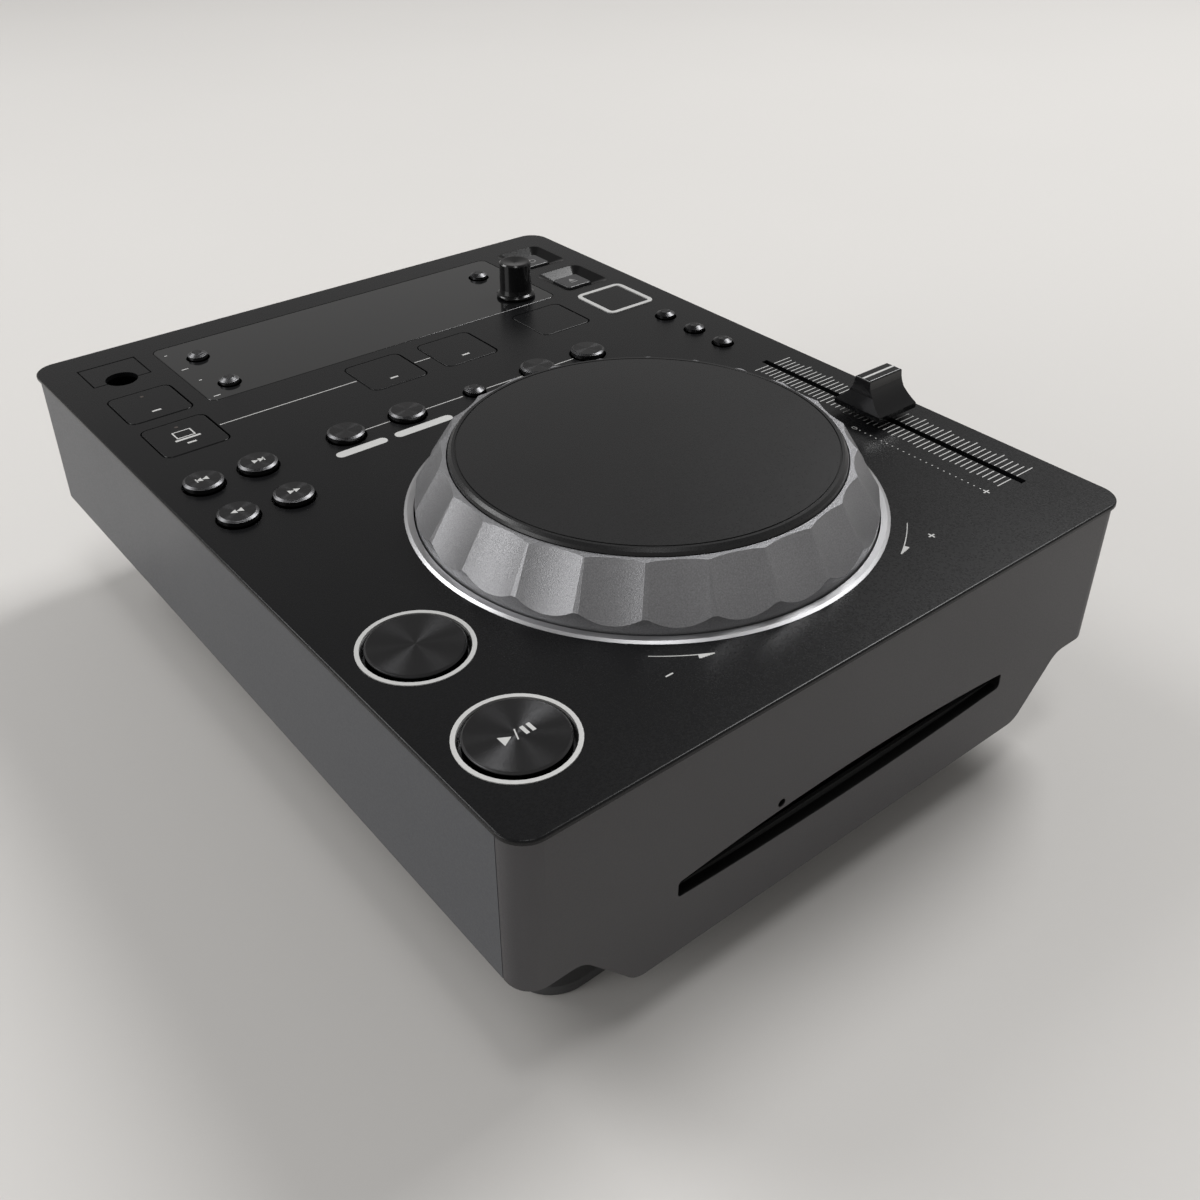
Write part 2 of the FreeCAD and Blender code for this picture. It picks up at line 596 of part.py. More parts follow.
# Case shell: both side walls and the back wall, one bent piece open to the front
def make_case_shell():
    shell = new_body("case_shell")
    width = d.body_width - d.overhang * 2
    depth = d.body_depth - d.overhang * 2
    walls = new_sketch(shell, "XY_Plane", d.ear_level)
    draw_box(walls, 0, 0, width, depth)
    pad(shell, walls, -d.ear_level - d.lip_height - 0.05)
    round_edges(shell, d.corner_round - d.overhang, upright)
    inside = new_sketch(shell, "XY_Plane", 1)
    draw_box(inside, 0, -d.body_depth / 2, width - d.wall * 2, d.body_depth * 2 - d.wall * 2 - d.overhang * 2)
    pocket(shell, inside, 60)
    front = new_sketch(shell, "XY_Plane", 1)
    seam = -(depth / 2) + d.fascia_return + 0.25
    draw_box(front, 0, seam - 20, d.body_width + 10, 40)
    pocket(shell, front, 60)
    openings = new_sketch(shell, "XZ_Plane", -d.body_depth / 2 - 5)
    for x in (d.phono_right_x, d.phono_left_x):
        draw_circle(openings, x, d.socket_z, d.phono_shell + d.socket_gap / 2)
    draw_circle(openings, d.control_jack_x, d.socket_z, d.control_jack_bush + d.socket_gap / 2)
    for x, width, height in ((d.usb_b_x, d.usb_b_width, d.usb_b_height),
                             (d.inlet_x, d.inlet_width, d.inlet_height)):
        draw_box(openings, x, d.socket_z, width + d.socket_gap, height + d.socket_gap)
    draw_box(openings, d.security_slot_x, d.socket_z, d.security_slot_width, d.security_slot_height)
    pocket(shell, openings, 12, True)


make_case_shell()


# Bottom case: the tub under the player with its four moulded legs
drive_screws = [(x, y) for x in (-d.drive_screw_x, d.drive_screw_x)
                for y in (d.drive_screw_front, d.drive_screw_rear)]
board_post_columns = (-66, -20, 2, 66)
board_post_rows = (30, 128)


def foot_centres():
    half = d.foot_size / 2
    return [((d.foot_inset_x - half) * side, end)
            for side in (-1, 1) for end in (d.foot_front + half, d.foot_rear - half)]


def make_legs(low, height):
    """Four bars of rounded square section that stand at the player's corners."""
    bars = []
    for x, y in foot_centres():
        bar = doc.addObject("PartDesign::Body", "leg")
        outline = new_sketch(bar, "XY_Plane", low)
        draw_box(outline, x, y, d.foot_size, d.foot_size)
        pad(bar, outline, height)
        round_edges(bar, d.foot_round, upright)
        bars.append(bar)
    return bars


def make_bottom_case():
    face = d.body_depth / 2 - d.overhang
    start = face - d.fascia_wall - d.gap
    back = face - d.wall - d.gap
    tub = doc.addObject("PartDesign::Body", "tub")
    outline = sweep_outline(d.wall + d.gap, d.ear_level + d.tub_wall)
    profile = new_sketch(tub, "XZ_Plane", start)
    draw_loop(profile, outline)
    pad(tub, profile, start + back, True)
    round_edges(tub, d.sweep_round, sweep_edges(100))
    legs = make_legs(-d.deck_height + d.foot_pad, d.deck_height - d.foot_pad + d.ear_level)
    hollow = doc.addObject("PartDesign::Body", "tub_hollow")
    inside = new_sketch(hollow, "XZ_Plane", start - d.tub_wall)
    top = d.ear_level + d.tub_wall + 1
    floor = d.skirt_level + d.tub_wall
    draw_loop(inside, [(-d.ear_half + 3.6, top), (d.ear_half - 3.6, top),
                       (d.ear_half - 4.4, d.ear_level), (d.skirt_half - 3.4, floor),
                       (-d.skirt_half + 3.4, floor), (-d.ear_half + 4.4, d.ear_level)])
    pad(hollow, inside, start + back - d.tub_wall * 2, True)
    holes = [rod((x, y, d.skirt_level - 1), d.tub_wall + 3, d.screw_hole) for x, y in drive_screws]
    slot_notch = block((-d.path_half, -start - 2, -54), (d.path_half * 2, d.tub_wall + 3, 12))
    base = floor - 0.5
    posts = [rod((x, y, base), d.main_level - base, d.tub_post)
             for x in board_post_columns for y in board_post_rows]
    shell = cut(fuse([tub] + legs), [hollow, slot_notch] + holes)
    finish("bottom_case", fuse([shell] + posts))


make_bottom_case()


# Rubber pads under the legs
def make_foot_pads():
    solids = []
    for x, y in foot_centres():
        body = doc.addObject("PartDesign::Body", "foot_pad")
        outline = new_sketch(body, "XY_Plane", -d.deck_height)
        draw_box(outline, x, y, d.foot_size, d.foot_size)
        pad(body, outline, d.foot_pad)
        round_edges(body, d.foot_round, upright)
        round_edges(body, 0.5, rim_at(-d.deck_height))
        solids.append(body)
    finish("foot_pads", group(solids))


make_foot_pads()


# Pan-head screws through the tub into the disc drive
def make_case_screws():
    solids = []
    for x, y in drive_screws:
        low = d.skirt_level - d.screw_head_height
        head = rod((x, y, low), d.screw_head_height, d.screw_head)
        shank = rod((x, y, d.skirt_level - 0.5), d.screw_shank_length, d.screw_shank)
        socket = rod((x, y, low - 0.5), 1.5, d.screw_socket)
        solids.append(cut(fuse([head, shank]), [socket]))
    finish("case_screws", group(solids))


make_case_screws()


# Display window and the screen under it
def make_display_window():
    window = new_body("display_window")
    plate = new_sketch(window, "XY_Plane", -d.window_thick)
    draw_box(plate, d.window_x, d.window_y, *window_size)
    pad(window, plate, d.window_thick)
    round_edges(window, d.pad_round, upright)
    round_edges(window, 0.3, rim_at(0))
    holes = new_sketch(window, "XY_Plane")
    for name in ("time_button", "display_button", "menu_back_button"):
        draw_circle(holes, *small_buttons[name], d.small_bore)
    draw_circle(holes, d.selector_x, d.selector_y, d.selector_bore)
    pocket(window, holes)


make_display_window()
screen_low = (-d.screen_half, d.window_y - d.screen_depth / 2, d.control_level + d.board_thick)
screen_height = -d.control_level - d.board_thick - d.window_thick
screen = block(screen_low, (d.screen_half * 2, d.screen_depth, screen_height))
finish("display_module", group([screen]))


# Round buttons: a cap that rises through its hole, a flange that keeps it in and a stem
def make_button(label, x, y, cap, bore, rise, bevel):
    button = new_body(label, x, y)
    under = -d.panel_height - d.button_under
    flange = bore + d.button_flange
    low = under - d.button_flange_thick
    turn(button, [(0, d.stem_end), (d.stem_radius, d.stem_end), (d.stem_radius, low), (flange, low),
                  (flange, under), (cap, under), (cap, rise - bevel[1]),
                  (cap - bevel[0], rise), (0, rise)])


for name, (x, y) in main_buttons.items():
    make_button(name, x, y, d.main_cap, d.main_bore, d.main_rise, (0.5, 0.5))
for name, (x, y) in large_buttons.items():
    make_button(name, x, y, d.large_cap, d.large_bore, d.large_rise, (0.8, 0.5))
for name, (x, y) in small_buttons.items():
    make_button(name, x, y, d.small_cap, d.small_bore, d.small_rise, (1.6, 0.9))


# Silver trims: a ring round each main button and the frame of the lock key
def make_button_trims():
    solids = []
    for x, y in main_buttons.values():
        outer = rod((x, y, -0.6), 0.85, d.main_ring)
        solids.append(cut(outer, [rod((x, y, -1), 2, d.main_ring - 1.15)]))
    frame = doc.addObject("PartDesign::Body", "lock_frame")
    band = new_sketch(frame, "XY_Plane", -0.8)
    draw_box(band, d.lock_x, d.lock_y, *lock_size)
    pad(frame, band, 1.1)
    round_edges(frame, d.pad_round, upright)
    middle = new_sketch(frame, "XY_Plane", 1)
    draw_box(middle, d.lock_x, d.lock_y, *lock_bore)
    pocket(frame, middle, 4)
    round_edges(frame, 1.3, upright_at(corners(d.lock_x, d.lock_y, *lock_bore)))
    solids.append(frame)
    finish("button_trims", group(solids))


make_button_trims()


# Flush pads: plates that hinge at their back edge, with a stem near the front
def make_pad(label, x, y):
    key = new_body(label, x, y)
    width = d.pad_size - d.pad_gap * 2
    depth = d.pad_size - d.pad_gap - d.pad_back_gap
    middle = (d.pad_gap - d.pad_back_gap) / 2
    plate = new_sketch(key, "XY_Plane", -d.pad_thick)
    draw_round_box(plate, 0, middle, width, depth, d.pad_round - d.pad_gap)
    pad(key, plate, d.pad_thick)
    round_edges(key, 0.4, rim_at(0))
    stem = new_sketch(key, "XY_Plane", d.stem_end)
    draw_circle(stem, 0, -6, d.stem_radius)
    pad(key, stem, -d.stem_end - d.pad_thick)
    pin = new_sketch(key, "YZ_Plane", -width / 2 - 1.2)
    draw_circle(pin, d.pad_pin_y, d.pad_pin_z, d.pad_pin)
    pad(key, pin, width + 2.4)


for name, (x, y) in pads.items():
    make_pad(name, x, y)


def make_lock_key():
    key = new_body("lock_key", d.lock_x, d.lock_y)
    plate = new_sketch(key, "XY_Plane", -d.pad_thick)
    draw_box(plate, 0, 0, lock_bore[0] - 0.6, lock_bore[1] - 0.6)
    pad(key, plate, d.pad_thick + 0.1)
    round_edges(key, 1.2, upright)
    round_edges(key, 0.25, rim_at(0.1))
    stem = new_sketch(key, "XY_Plane", d.stem_end)
    draw_circle(stem, 0, 0, d.stem_radius)
    pad(key, stem, -d.stem_end - d.pad_thick)


make_lock_key()


# Wells: sloped square bezels with a square key in the middle of each
def make_well_bezels():
    solids = []
    for x, y in well_keys.values():
        bezel = doc.addObject("PartDesign::Body", "well_bezel")
        plate = new_sketch(bezel, "XY_Plane", -d.panel_height)
        draw_round_box(plate, x, y, d.well_width - 0.1, d.well_depth - 0.1, d.well_round - 0.05)
        pad(bezel, plate, d.panel_height)
        bore_size = (d.well_key_width + 0.7, d.well_key_depth + 0.7)
        wide = new_sketch(bezel, "XY_Plane", 0.01)
        draw_round_box(wide, x, y, d.well_width - 1.4, d.well_depth - 1.4, d.well_round - 0.7)
        narrow = new_sketch(bezel, "XY_Plane", d.well_floor)
        draw_round_box(narrow, x, y, *bore_size, 1.4)
        funnel = bezel.newObject("PartDesign::SubtractiveLoft", "funnel")
        funnel.Profile = wide
        funnel.Sections = [narrow]
        funnel.Ruled = True
        doc.recompute()
        bore = new_sketch(bezel, "XY_Plane", 1)
        draw_round_box(bore, x, y, *bore_size, 1.4)
        pocket(bezel, bore, 6)
        solids.append(bezel)
    finish("well_bezels", group(solids))


make_well_bezels()
for name, (x, y) in well_keys.items():
    key = new_body(name, x, y)
    plate = new_sketch(key, "XY_Plane", -d.panel_height - 0.4)
    draw_round_box(plate, 0, 0, d.well_key_width, d.well_key_depth, 1.2)
    pad(key, plate, d.panel_height + 0.4 + d.well_key_top)
    round_edges(key, 0.5, rim_at(d.well_key_top))
    stem = new_sketch(key, "XY_Plane", d.stem_end)
    draw_circle(stem, 0, 0, d.stem_radius)
    pad(key, stem, -d.stem_end - d.panel_height - 0.3)


# Jog wheel: bearing plate, wheel with scalloped rim, touch disc and trim ring
def make_jog():
    place = (d.jog_x, d.jog_y)
    ring = new_body("jog_ring", *place)
    outer, inner = d.jog_ring_outer, d.jog_ring_inner
    turn(ring, [(inner, -1.0), (outer, -1.0), (outer, 0.1), (outer - 0.9, 0.55), (inner, 0.55)])

    base = new_body("jog_base", *place)
    level = d.jog_plate_level
    turn(base, [(0, level), (d.jog_plate, level), (d.jog_plate, level + 2), (12.5, level + 2),
                (12.5, level + 5), (d.jog_post, level + 5), (d.jog_post, 8), (0, 8)])
    posts = new_sketch(base, "XY_Plane", level + 2)
    for angle in (50, 130, 230, 310):
        reach = value_of(d.jog_plate) - 3.5
        draw_circle(posts, reach * math.cos(math.radians(angle)),
                    reach * math.sin(math.radians(angle)), 3.0)
    pad(base, posts, -d.panel_height - level - 2)

    wheel = new_body("jog_wheel", *place)
    bore = d.jog_post + d.running_gap
    floor = d.jog_recess
    web = floor - 2.4
    turn(wheel, [(bore, level + 6), (bore, web), (5.05, web), (5.05, floor), (d.jog_disc + 0.3, floor),
                 (d.jog_disc + 0.3, d.jog_rim_level), (d.jog_rim, d.jog_rim_level),
                 (d.jog_flange, d.jog_ledge), (d.jog_flange, -2.0), (d.jog_flange - 2.5, -2.0),
                 (d.jog_flange - 2.5, 4.0), (d.jog_rim - 4.0, web), (12, web), (12, level + 6)])
    tilt = math.atan(value_of(d.scallop_slope))
    cutter = wheel.newObject("PartDesign::SubtractiveCylinder", "scallop")
    cutter.Radius = value_of(d.scallop_radius)
    cutter.Height = 60
    middle = (value_of(d.scallop_middle), value_of(d.jog_rim_level))
    reach = value_of(d.scallop_radius)
    centre_x = middle[0] + reach * math.cos(tilt) + 30 * math.sin(tilt)
    centre_z = middle[1] + reach * math.sin(tilt) - 30 * math.cos(tilt)
    cutter.AttachmentOffset = FreeCAD.Placement(
        Vector(centre_x, 0, centre_z), FreeCAD.Rotation(Vector(0, 1, 0), -math.degrees(tilt)))
    cutter.AttachmentSupport = [(wheel.Origin.OriginFeatures[3], "")]
    cutter.MapMode = "FlatFace"
    doc.recompute()
    pattern = wheel.newObject("PartDesign::PolarPattern", "scallops")
    pattern.Originals = [cutter]
    pattern.Axis = ([axis for axis in wheel.Origin.OriginFeatures if axis.Role == "Z_Axis"][0], [""])
    pattern.Angle = 360
    pattern.setExpression("Occurrences", text_of(d.jog_scallops))
    wheel.Tip = pattern
    wheel.Placement.Rotation = FreeCAD.Rotation(Vector(0, 0, 1), 4.0 + 7.5)
    doc.recompute()

    top = new_body("jog_top", *place)
    edge = d.jog_disc
    high = d.jog_disc_top
    turn(top, [(0, 9.4), (5.0, 9.4), (5.0, floor + 0.8), (edge, floor + 0.8), (edge, high - 1.6),
               (edge - 0.35, high - 0.7), (edge - 1.2, high), (edge - 2.0, high),
               (edge - 2.1, high - 0.3), (edge - 2.4, high - 0.3), (edge - 2.5, high), (0, high)])


make_jog()


# Selector: a knob on its switch plunger over the rotary encoder
def make_selector():
    place = (d.selector_x, d.selector_y)
    knob = new_body("selector_knob", *place)
    skirt, grip, top = d.selector_skirt, d.selector_grip, d.selector_top
    turn(knob, [(0, -3.2), (d.selector_shaft, -3.2), (d.selector_shaft, 0.7), (skirt, 0.7),
                (skirt, 1.2), (skirt - 0.3, 1.5), (grip + 0.3, 1.9), (grip + 0.1, 3.5),
                (grip, top - 0.5), (grip - 0.5, top), (grip - 1.2, top), (0, top - 0.7)])
    plunger = new_body("selector_plunger", *place)
    turn(plunger, [(0, -8.2), (2.0, -8.2), (2.0, -5.2), (4.5, -5.2), (4.5, -3.5), (0, -3.5)])
    case = cut(block((-6, -6, -10), (12, 12, 6.6)),
               [rod((0, 0, -9), 10, 4.8)])
    finish("selector_encoder", case, *place)


make_selector()


# Tempo slider: scooped knob on a blade through the deck slot, and the fader under it
def make_tempo():
    knob = new_body("tempo_knob", d.tempo_x, d.tempo_rest_y)
    foot = d.tempo_base_length / 2
    crown = d.tempo_crown_length / 2
    side = new_sketch(knob, "YZ_Plane", -d.tempo_base_half)
    waist = 0.55
    rise = d.tempo_crown - d.tempo_rim
    steps = 14
    scoop = []
    for step in range(steps + 1):
        part = step / steps
        flare = (1 - part) ** 2.2
        scoop.append((crown + (foot - crown) * flare, d.tempo_rim + rise * part * (0.97 + 0.03 * part)))
    right = [(foot, d.tempo_low)] + scoop
    left = [(-y, z) for y, z in reversed(right)]
    draw_loop(side, right + left)
    pad(knob, side, d.tempo_base_half * 2)
    sides = new_sketch(knob, "XZ_Plane", -foot - 1)
    for hand in (-1, 1):
        edge = [(d.tempo_base_half * hand, d.tempo_rim), (d.tempo_base_half * hand * 1.2, d.tempo_rim),
                (d.tempo_base_half * hand * 1.2, d.tempo_crown + 1),
                (d.tempo_crown_half * hand, d.tempo_crown + 1),
                (d.tempo_crown_half * hand, d.tempo_crown - rise * waist)]
        draw_loop(sides, edge)
    pocket(knob, sides, foot * 2 + 2, True)
    round_edges(knob, 0.6, rim_at(d.tempo_crown))
    blade = new_sketch(knob, "XY_Plane", -8)
    draw_box(blade, 0, 0, 1.2, 5.0)
    pad(knob, blade, d.tempo_low + 8)

    length = d.tempo_slot_length + 14
    low = Size(-12.0, "(0 - 12.0)")
    body = block((-4.5, -length / 2, low), (9, length, -low - d.panel_height))
    groove = block((-d.tempo_slot_width / 2, -d.tempo_slot_length / 2, low + 2),
                   (d.tempo_slot_width, d.tempo_slot_length, 10))
    finish("fader_body", cut(body, [groove]), d.tempo_x, d.tempo_mid_y)


make_tempo()


# USB hatch: a lid with a thumb notch on two stub pins, and the socket below it
def make_hatch():
    axis_z = d.hatch_axis_z
    lid = new_body("usb_hatch", d.hatch_x, d.hatch_axis_y, axis_z)
    width = d.hatch_width - 0.9
    front = d.hatch_front - d.hatch_axis_y + 0.45
    plate = new_sketch(lid, "XY_Plane", -d.hatch_thick - axis_z)
    draw_loop(plate, [(-width / 2, front), (width / 2, front), (width / 2, 1.3), (-width / 2, 1.3)])
    pad(lid, plate, d.hatch_thick)
    notch = new_sketch(lid, "XY_Plane", 4)
    draw_circle(notch, 0, d.hatch_front - d.hatch_axis_y + 1.3, d.notch_radius)
    pocket(lid, notch, 8)
    pins = new_sketch(lid, "YZ_Plane", -width / 2 - 1.2)
    draw_circle(pins, 0, 0, 0.7)
    pad(lid, pins, width + 2.4)


make_hatch()


def make_usb_a_socket():
    width, depth, skin = d.usb_shell_width, d.usb_shell_depth, d.usb_skin
    floor = d.usb_shell_floor
    shell = block((-width / 2, -depth / 2, floor), (width, depth, d.usb_shell_height))
    mouth = block((-width / 2 + skin, -depth / 2 + skin, floor + 2),
                  (width - skin * 2, depth - skin * 2, d.usb_shell_height + 4.5))
    tongue = block((-5.6, 0.5, floor + 1.5), (11.2, 1.9, 12))
    rim = block((-9.6, -5.2, d.control_level + d.board_thick), (19.2, 10.4, 0.5))
    case = cut(fuse([shell, rim]), [mouth])
    finish("usb_a_socket", fuse([case, tongue]), d.hatch_x, d.usb_y)


make_usb_a_socket()


# Circuit boards: one under the controls, one for sound and data, one for power
def make_boards():
    level, thick = d.control_level, d.board_thick
    back = block((-d.control_half, d.control_front, level), (d.control_half * 2, d.control_depth, thick))
    left = block((-d.control_half, d.control_arm_front, level),
                 (d.control_arm, d.control_front - d.control_arm_front, thick))
    right = block((d.control_tab_x, d.control_tab_front, level),
                  (d.control_tab_width, d.control_front - d.control_tab_front, thick))
    socket_hole = block((d.hatch_x - 8.8, d.usb_y - 4.4, level - 1), (18, 9.2, thick + 2))
    finish("control_board", cut(fuse([back, left, right]), [socket_hole]))

    # Chips and parts on the two lower boards: left, front, width, depth and height
    top = d.main_level + thick
    main_chips = ((20, 60, 18, 18, 2), (55, 50, 14, 20, 2), (60, 92, 10, 22, 2))
    power_parts = ((-82, 40, 40, 34, 24), (-88, 92, 28, 14, 10))
    plate = block((d.main_board_x, d.board_front, d.main_level), (d.main_board_width, d.board_depth, thick))
    chips = [block((x, y, top), size) for x, y, *size in main_chips]
    finish("main_board", fuse([plate, rod((84, 40, top), 11, 5)] + chips))

    plate = block((d.power_board_x, d.board_front, d.main_level), (d.power_board_width, d.board_depth, thick))
    parts = [block((x, y, top), size) for x, y, *size in power_parts]
    coils = [rod((-32, y, top), 20, 7) for y in (50, 70)]
    finish("power_supply", fuse([plate] + parts + coils))


make_boards()


# Sockets on the back
def make_rear_sockets():
    wall = d.rear_face - d.wall
    z = d.socket_z
    low = d.main_level + d.board_thick
    back = wall - d.socket_reach - d.bite
    jacks = []
    for x in (d.phono_right_x, d.phono_left_x):
        barrel = rod((x, wall - d.bite, z), d.jack_tip - wall + d.bite, d.phono_shell, "y")
        hollow = rod((x, wall + 2, z), d.jack_tip - wall, d.phono_mouth, "y")
        pin_seat = rod((x, wall, z), d.jack_tip - wall - 0.6, d.phono_pin, "y")
        pin_hole = rod((x, wall + 1, z), d.jack_tip - wall, d.phono_pin_bore, "y")
        jacks.append(cut(fuse([cut(barrel, [hollow]), pin_seat]), [pin_hole]))
    phono_base = block((d.phono_left_x - 7, back, low),
                       (d.phono_block_width, d.socket_reach, d.phono_block_height))
    x = d.control_jack_x
    jack_base = block((x - d.control_jack_width / 2, back, low),
                      (d.control_jack_width, d.socket_reach, d.control_jack_height))
    bush = rod((x, wall - d.bite, z), d.wall + 1.4, d.control_jack_bush, "y")
    bore = rod((x, wall - 10, z), d.socket_reach + 10, d.control_jack_bore, "y")
    finish("rear_jacks", group([fuse([phono_base] + jacks), cut(fuse([jack_base, bush]), [bore])]))

    x, width, height, reach = d.usb_b_x, d.usb_b_width, d.usb_b_height, d.usb_b_reach
    case = block((x - width / 2, wall - reach, z - height / 2), (width, reach + d.wall + 0.4, height))
    stand = block((x - width / 2, wall - reach, low), (width, reach - 0.2, z - height / 2 - low + 1))
    mouth = block((x - d.usb_b_mouth_width / 2, wall - 9, z - d.usb_b_mouth_height / 2),
                  (d.usb_b_mouth_width, 20, d.usb_b_mouth_height))
    tongue = block((x - 2.8, wall - 10, z - 1.6), (5.6, 4.5, 3.2))
    finish("usb_b_port", fuse([cut(fuse([case, stand]), [mouth]), tongue]))

    x, width, height, reach = d.inlet_x, d.inlet_width, d.inlet_height, d.inlet_reach
    case = block((x - width / 2, wall - reach, z - height / 2), (width, reach + d.wall + 0.6, height))
    stand = block((x - width / 2, wall - reach, low), (width, reach - 0.2, z - height / 2 - low + 1))
    lobe, gap = d.inlet_lobe, d.inlet_lobe_gap
    mouth = [rod((x + gap / 2 * side, wall - 13, z), 30, lobe, "y") for side in (-1, 1)]
    mouth.append(block((x - gap / 2, wall - 13, z - lobe), (gap, 30, lobe * 2)))
    pins = [rod((x + d.inlet_pin_gap / 2 * side, wall - 14, z), 11, d.inlet_pin, "y") for side in (-1, 1)]
    finish("mains_inlet", fuse([cut(fuse([case, stand]), mouth)] + pins))


make_rear_sockets()


# Disc drive: felt lips, sheet chassis, cover, motors, hub, roller, sled and screw
def make_drive():
    half, front = d.drive_half, d.drive_front
    depth = d.drive_rear - front
    metal, floor = d.drive_sheet, d.drive_floor
    wall_height = d.drive_cover_level - floor
    face = d.overhang + d.fascia_wall - d.body_depth / 2
    felt = (d.felt_half * 2, d.felt_thick, d.felt_height)
    felts = [block((-d.felt_half, face + d.seam, low), felt)
             for low in (d.path_top, d.path_bottom - d.felt_height)]
    finish("slot_felts", group(felts))

    tray = block((-half, front, floor), (half * 2, depth, wall_height))
    hollow = block((-half + metal, front - 1, floor + metal),
                   (half * 2 - metal * 2, depth - metal + 1, wall_height))
    apron = block((-half, front, floor), (half * 2, metal, d.path_bottom - floor - 1))
    tub_floor = d.skirt_level + d.tub_wall
    posts = [rod((x, y, tub_floor), floor - tub_floor + d.bite, d.chassis_post) for x, y in drive_screws]
    bearing = (d.bearing_width, d.bearing_thick, d.bearing_height)
    bearings = [block((d.screw_x - d.bearing_width / 2, y, floor), bearing)
                for y in (d.bearing_front, d.bearing_rear)]
    ledge = block((d.ledge_x, d.bearing_front, floor), (d.ledge_width, d.ledge_length, d.ledge_height))
    roller_z = d.path_bottom - d.roller_radius - 0.1
    gap = d.running_gap
    bores = [rod((x, y, d.skirt_level - 3), 12, d.screw_shank + gap) for x, y in drive_screws]
    bores.append(rod((d.screw_x, d.screw_start, d.screw_z), d.screw_length + 6, d.screw_radius + gap, "y"))
    bores.append(rod((-half - 8, d.roller_y, roller_z), half * 2 + 16, d.roller_shaft + gap, "x"))
    finish("drive_chassis", cut(fuse([cut(tray, [hollow]), apron, ledge] + posts + bearings), bores))

    cover = block((-half, front, d.drive_cover_level + d.seam), (half * 2, depth, metal))
    guide = (d.guide_width, d.guide_length, d.drive_cover_level - d.path_top)
    guides = [block((d.path_half * side - d.guide_width / 2, front + 2, d.path_top + d.seam), guide)
              for side in (-1, 1)]
    window = rod((0, d.disc_y, floor), 40, d.cover_window)
    finish("drive_cover", cut(fuse([cover] + guides), [window]))

    base = floor + metal
    spindle = fuse([rod((0, d.disc_y, base), d.spindle_height, d.spindle_motor),
                    rod((0, d.disc_y, base), d.spindle_height + d.spindle_rise, d.spindle_shaft)])
    sled_motor = rod((d.sled_motor_x, d.sled_motor_y, base + d.sled_motor + 0.2),
                     d.sled_motor_length, d.sled_motor, "y")
    load_motor = rod((d.load_motor_x, d.load_motor_y, base + d.load_motor + 0.2),
                     d.load_motor_length, d.load_motor, "x")
    finish("drive_motors", group([spindle, sled_motor, load_motor]))

    table = fuse([rod((0, d.disc_y, d.table_level), d.table_thick, d.table_radius),
                  rod((0, d.disc_y, d.table_level), d.table_thick + d.spigot_rise, d.spigot_radius)])
    shaft_bore = rod((0, d.disc_y, d.table_level - 0.4), 3.5, d.spindle_shaft + gap)
    clamp = fuse([rod((0, d.disc_y, d.clamp_level), d.clamp_thick, d.table_radius),
                  rod((0, d.disc_y, d.clamp_rim_level), d.clamp_rim_thick, d.clamp_rim_radius)])
    finish("disc_hub", group([cut(table, [shaft_bore]), clamp]))

    tube = rod((-d.roller_half, d.roller_y, roller_z), d.roller_half * 2, d.roller_radius, "x")
    shaft = rod((-d.roller_shaft_half, d.roller_y, roller_z), d.roller_shaft_half * 2, d.roller_shaft, "x")
    gear = rod((d.roller_half + 0.6, d.roller_y, roller_z), d.roller_gear_width, d.roller_gear, "x")
    finish("load_roller", fuse([tube, shaft, gear]))

    thread = rod((d.screw_x, d.screw_start, d.screw_z), d.screw_length, d.screw_radius, "y")
    gear_y = d.bearing_front + d.bearing_thick + 1.2
    finish("lead_screw", fuse([thread, rod((d.screw_x, gear_y, d.screw_z), 3, d.screw_gear, "y")]))

    low = d.sled_level
    body = block((-d.sled_half, -d.sled_depth / 2, low), (d.sled_half * 2, d.sled_depth, d.sled_height))
    nut = block((d.nut_overlap - d.sled_half - d.nut_width, -d.nut_depth / 2, low),
                (d.nut_width, d.nut_depth, d.nut_height))
    shoe = block((d.sled_half - 1, -d.nut_depth / 2, floor + d.ledge_height + 0.3),
                 (d.shoe_width, d.nut_depth, d.shoe_height))
    lens = rod((0, -3, low + d.sled_height - 0.5), d.lens_height, d.lens_radius)
    bore = rod((d.screw_x, -20, d.screw_z), 40, d.screw_radius + 0.06, "y")
    finish("optical_sled", cut(fuse([body, nut, shoe, lens]), [bore]), 0, d.sled_y)


make_drive()

# Check every object and write one file for each piece
doc.recompute()
faults = [thing.Name for thing in doc.Objects
          if any(word in " ".join(thing.State) for word in ("Invalid", "Error"))]
for piece in pieces:
    if piece.Shape.isNull() or not piece.Shape.isValid():
        faults.append(piece.Label)
if faults:
    raise RuntimeError("faulty objects: " + ", ".join(faults))
os.makedirs("parts", exist_ok=True)
for piece in pieces:
    piece.Shape.exportStep("parts/%s.step" % piece.Label)
whole = Part.makeCompound([piece.Shape for piece in pieces]).BoundBox
print(len(pieces), "pieces")
print("size", round(whole.XLength, 2), round(whole.YLength, 2), round(whole.ZLength, 2))
print("low", round(whole.XMin, 2), round(whole.YMin, 2), round(whole.ZMin, 2))
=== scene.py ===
import math

import bmesh
import bpy
from mathutils import Matrix, Vector


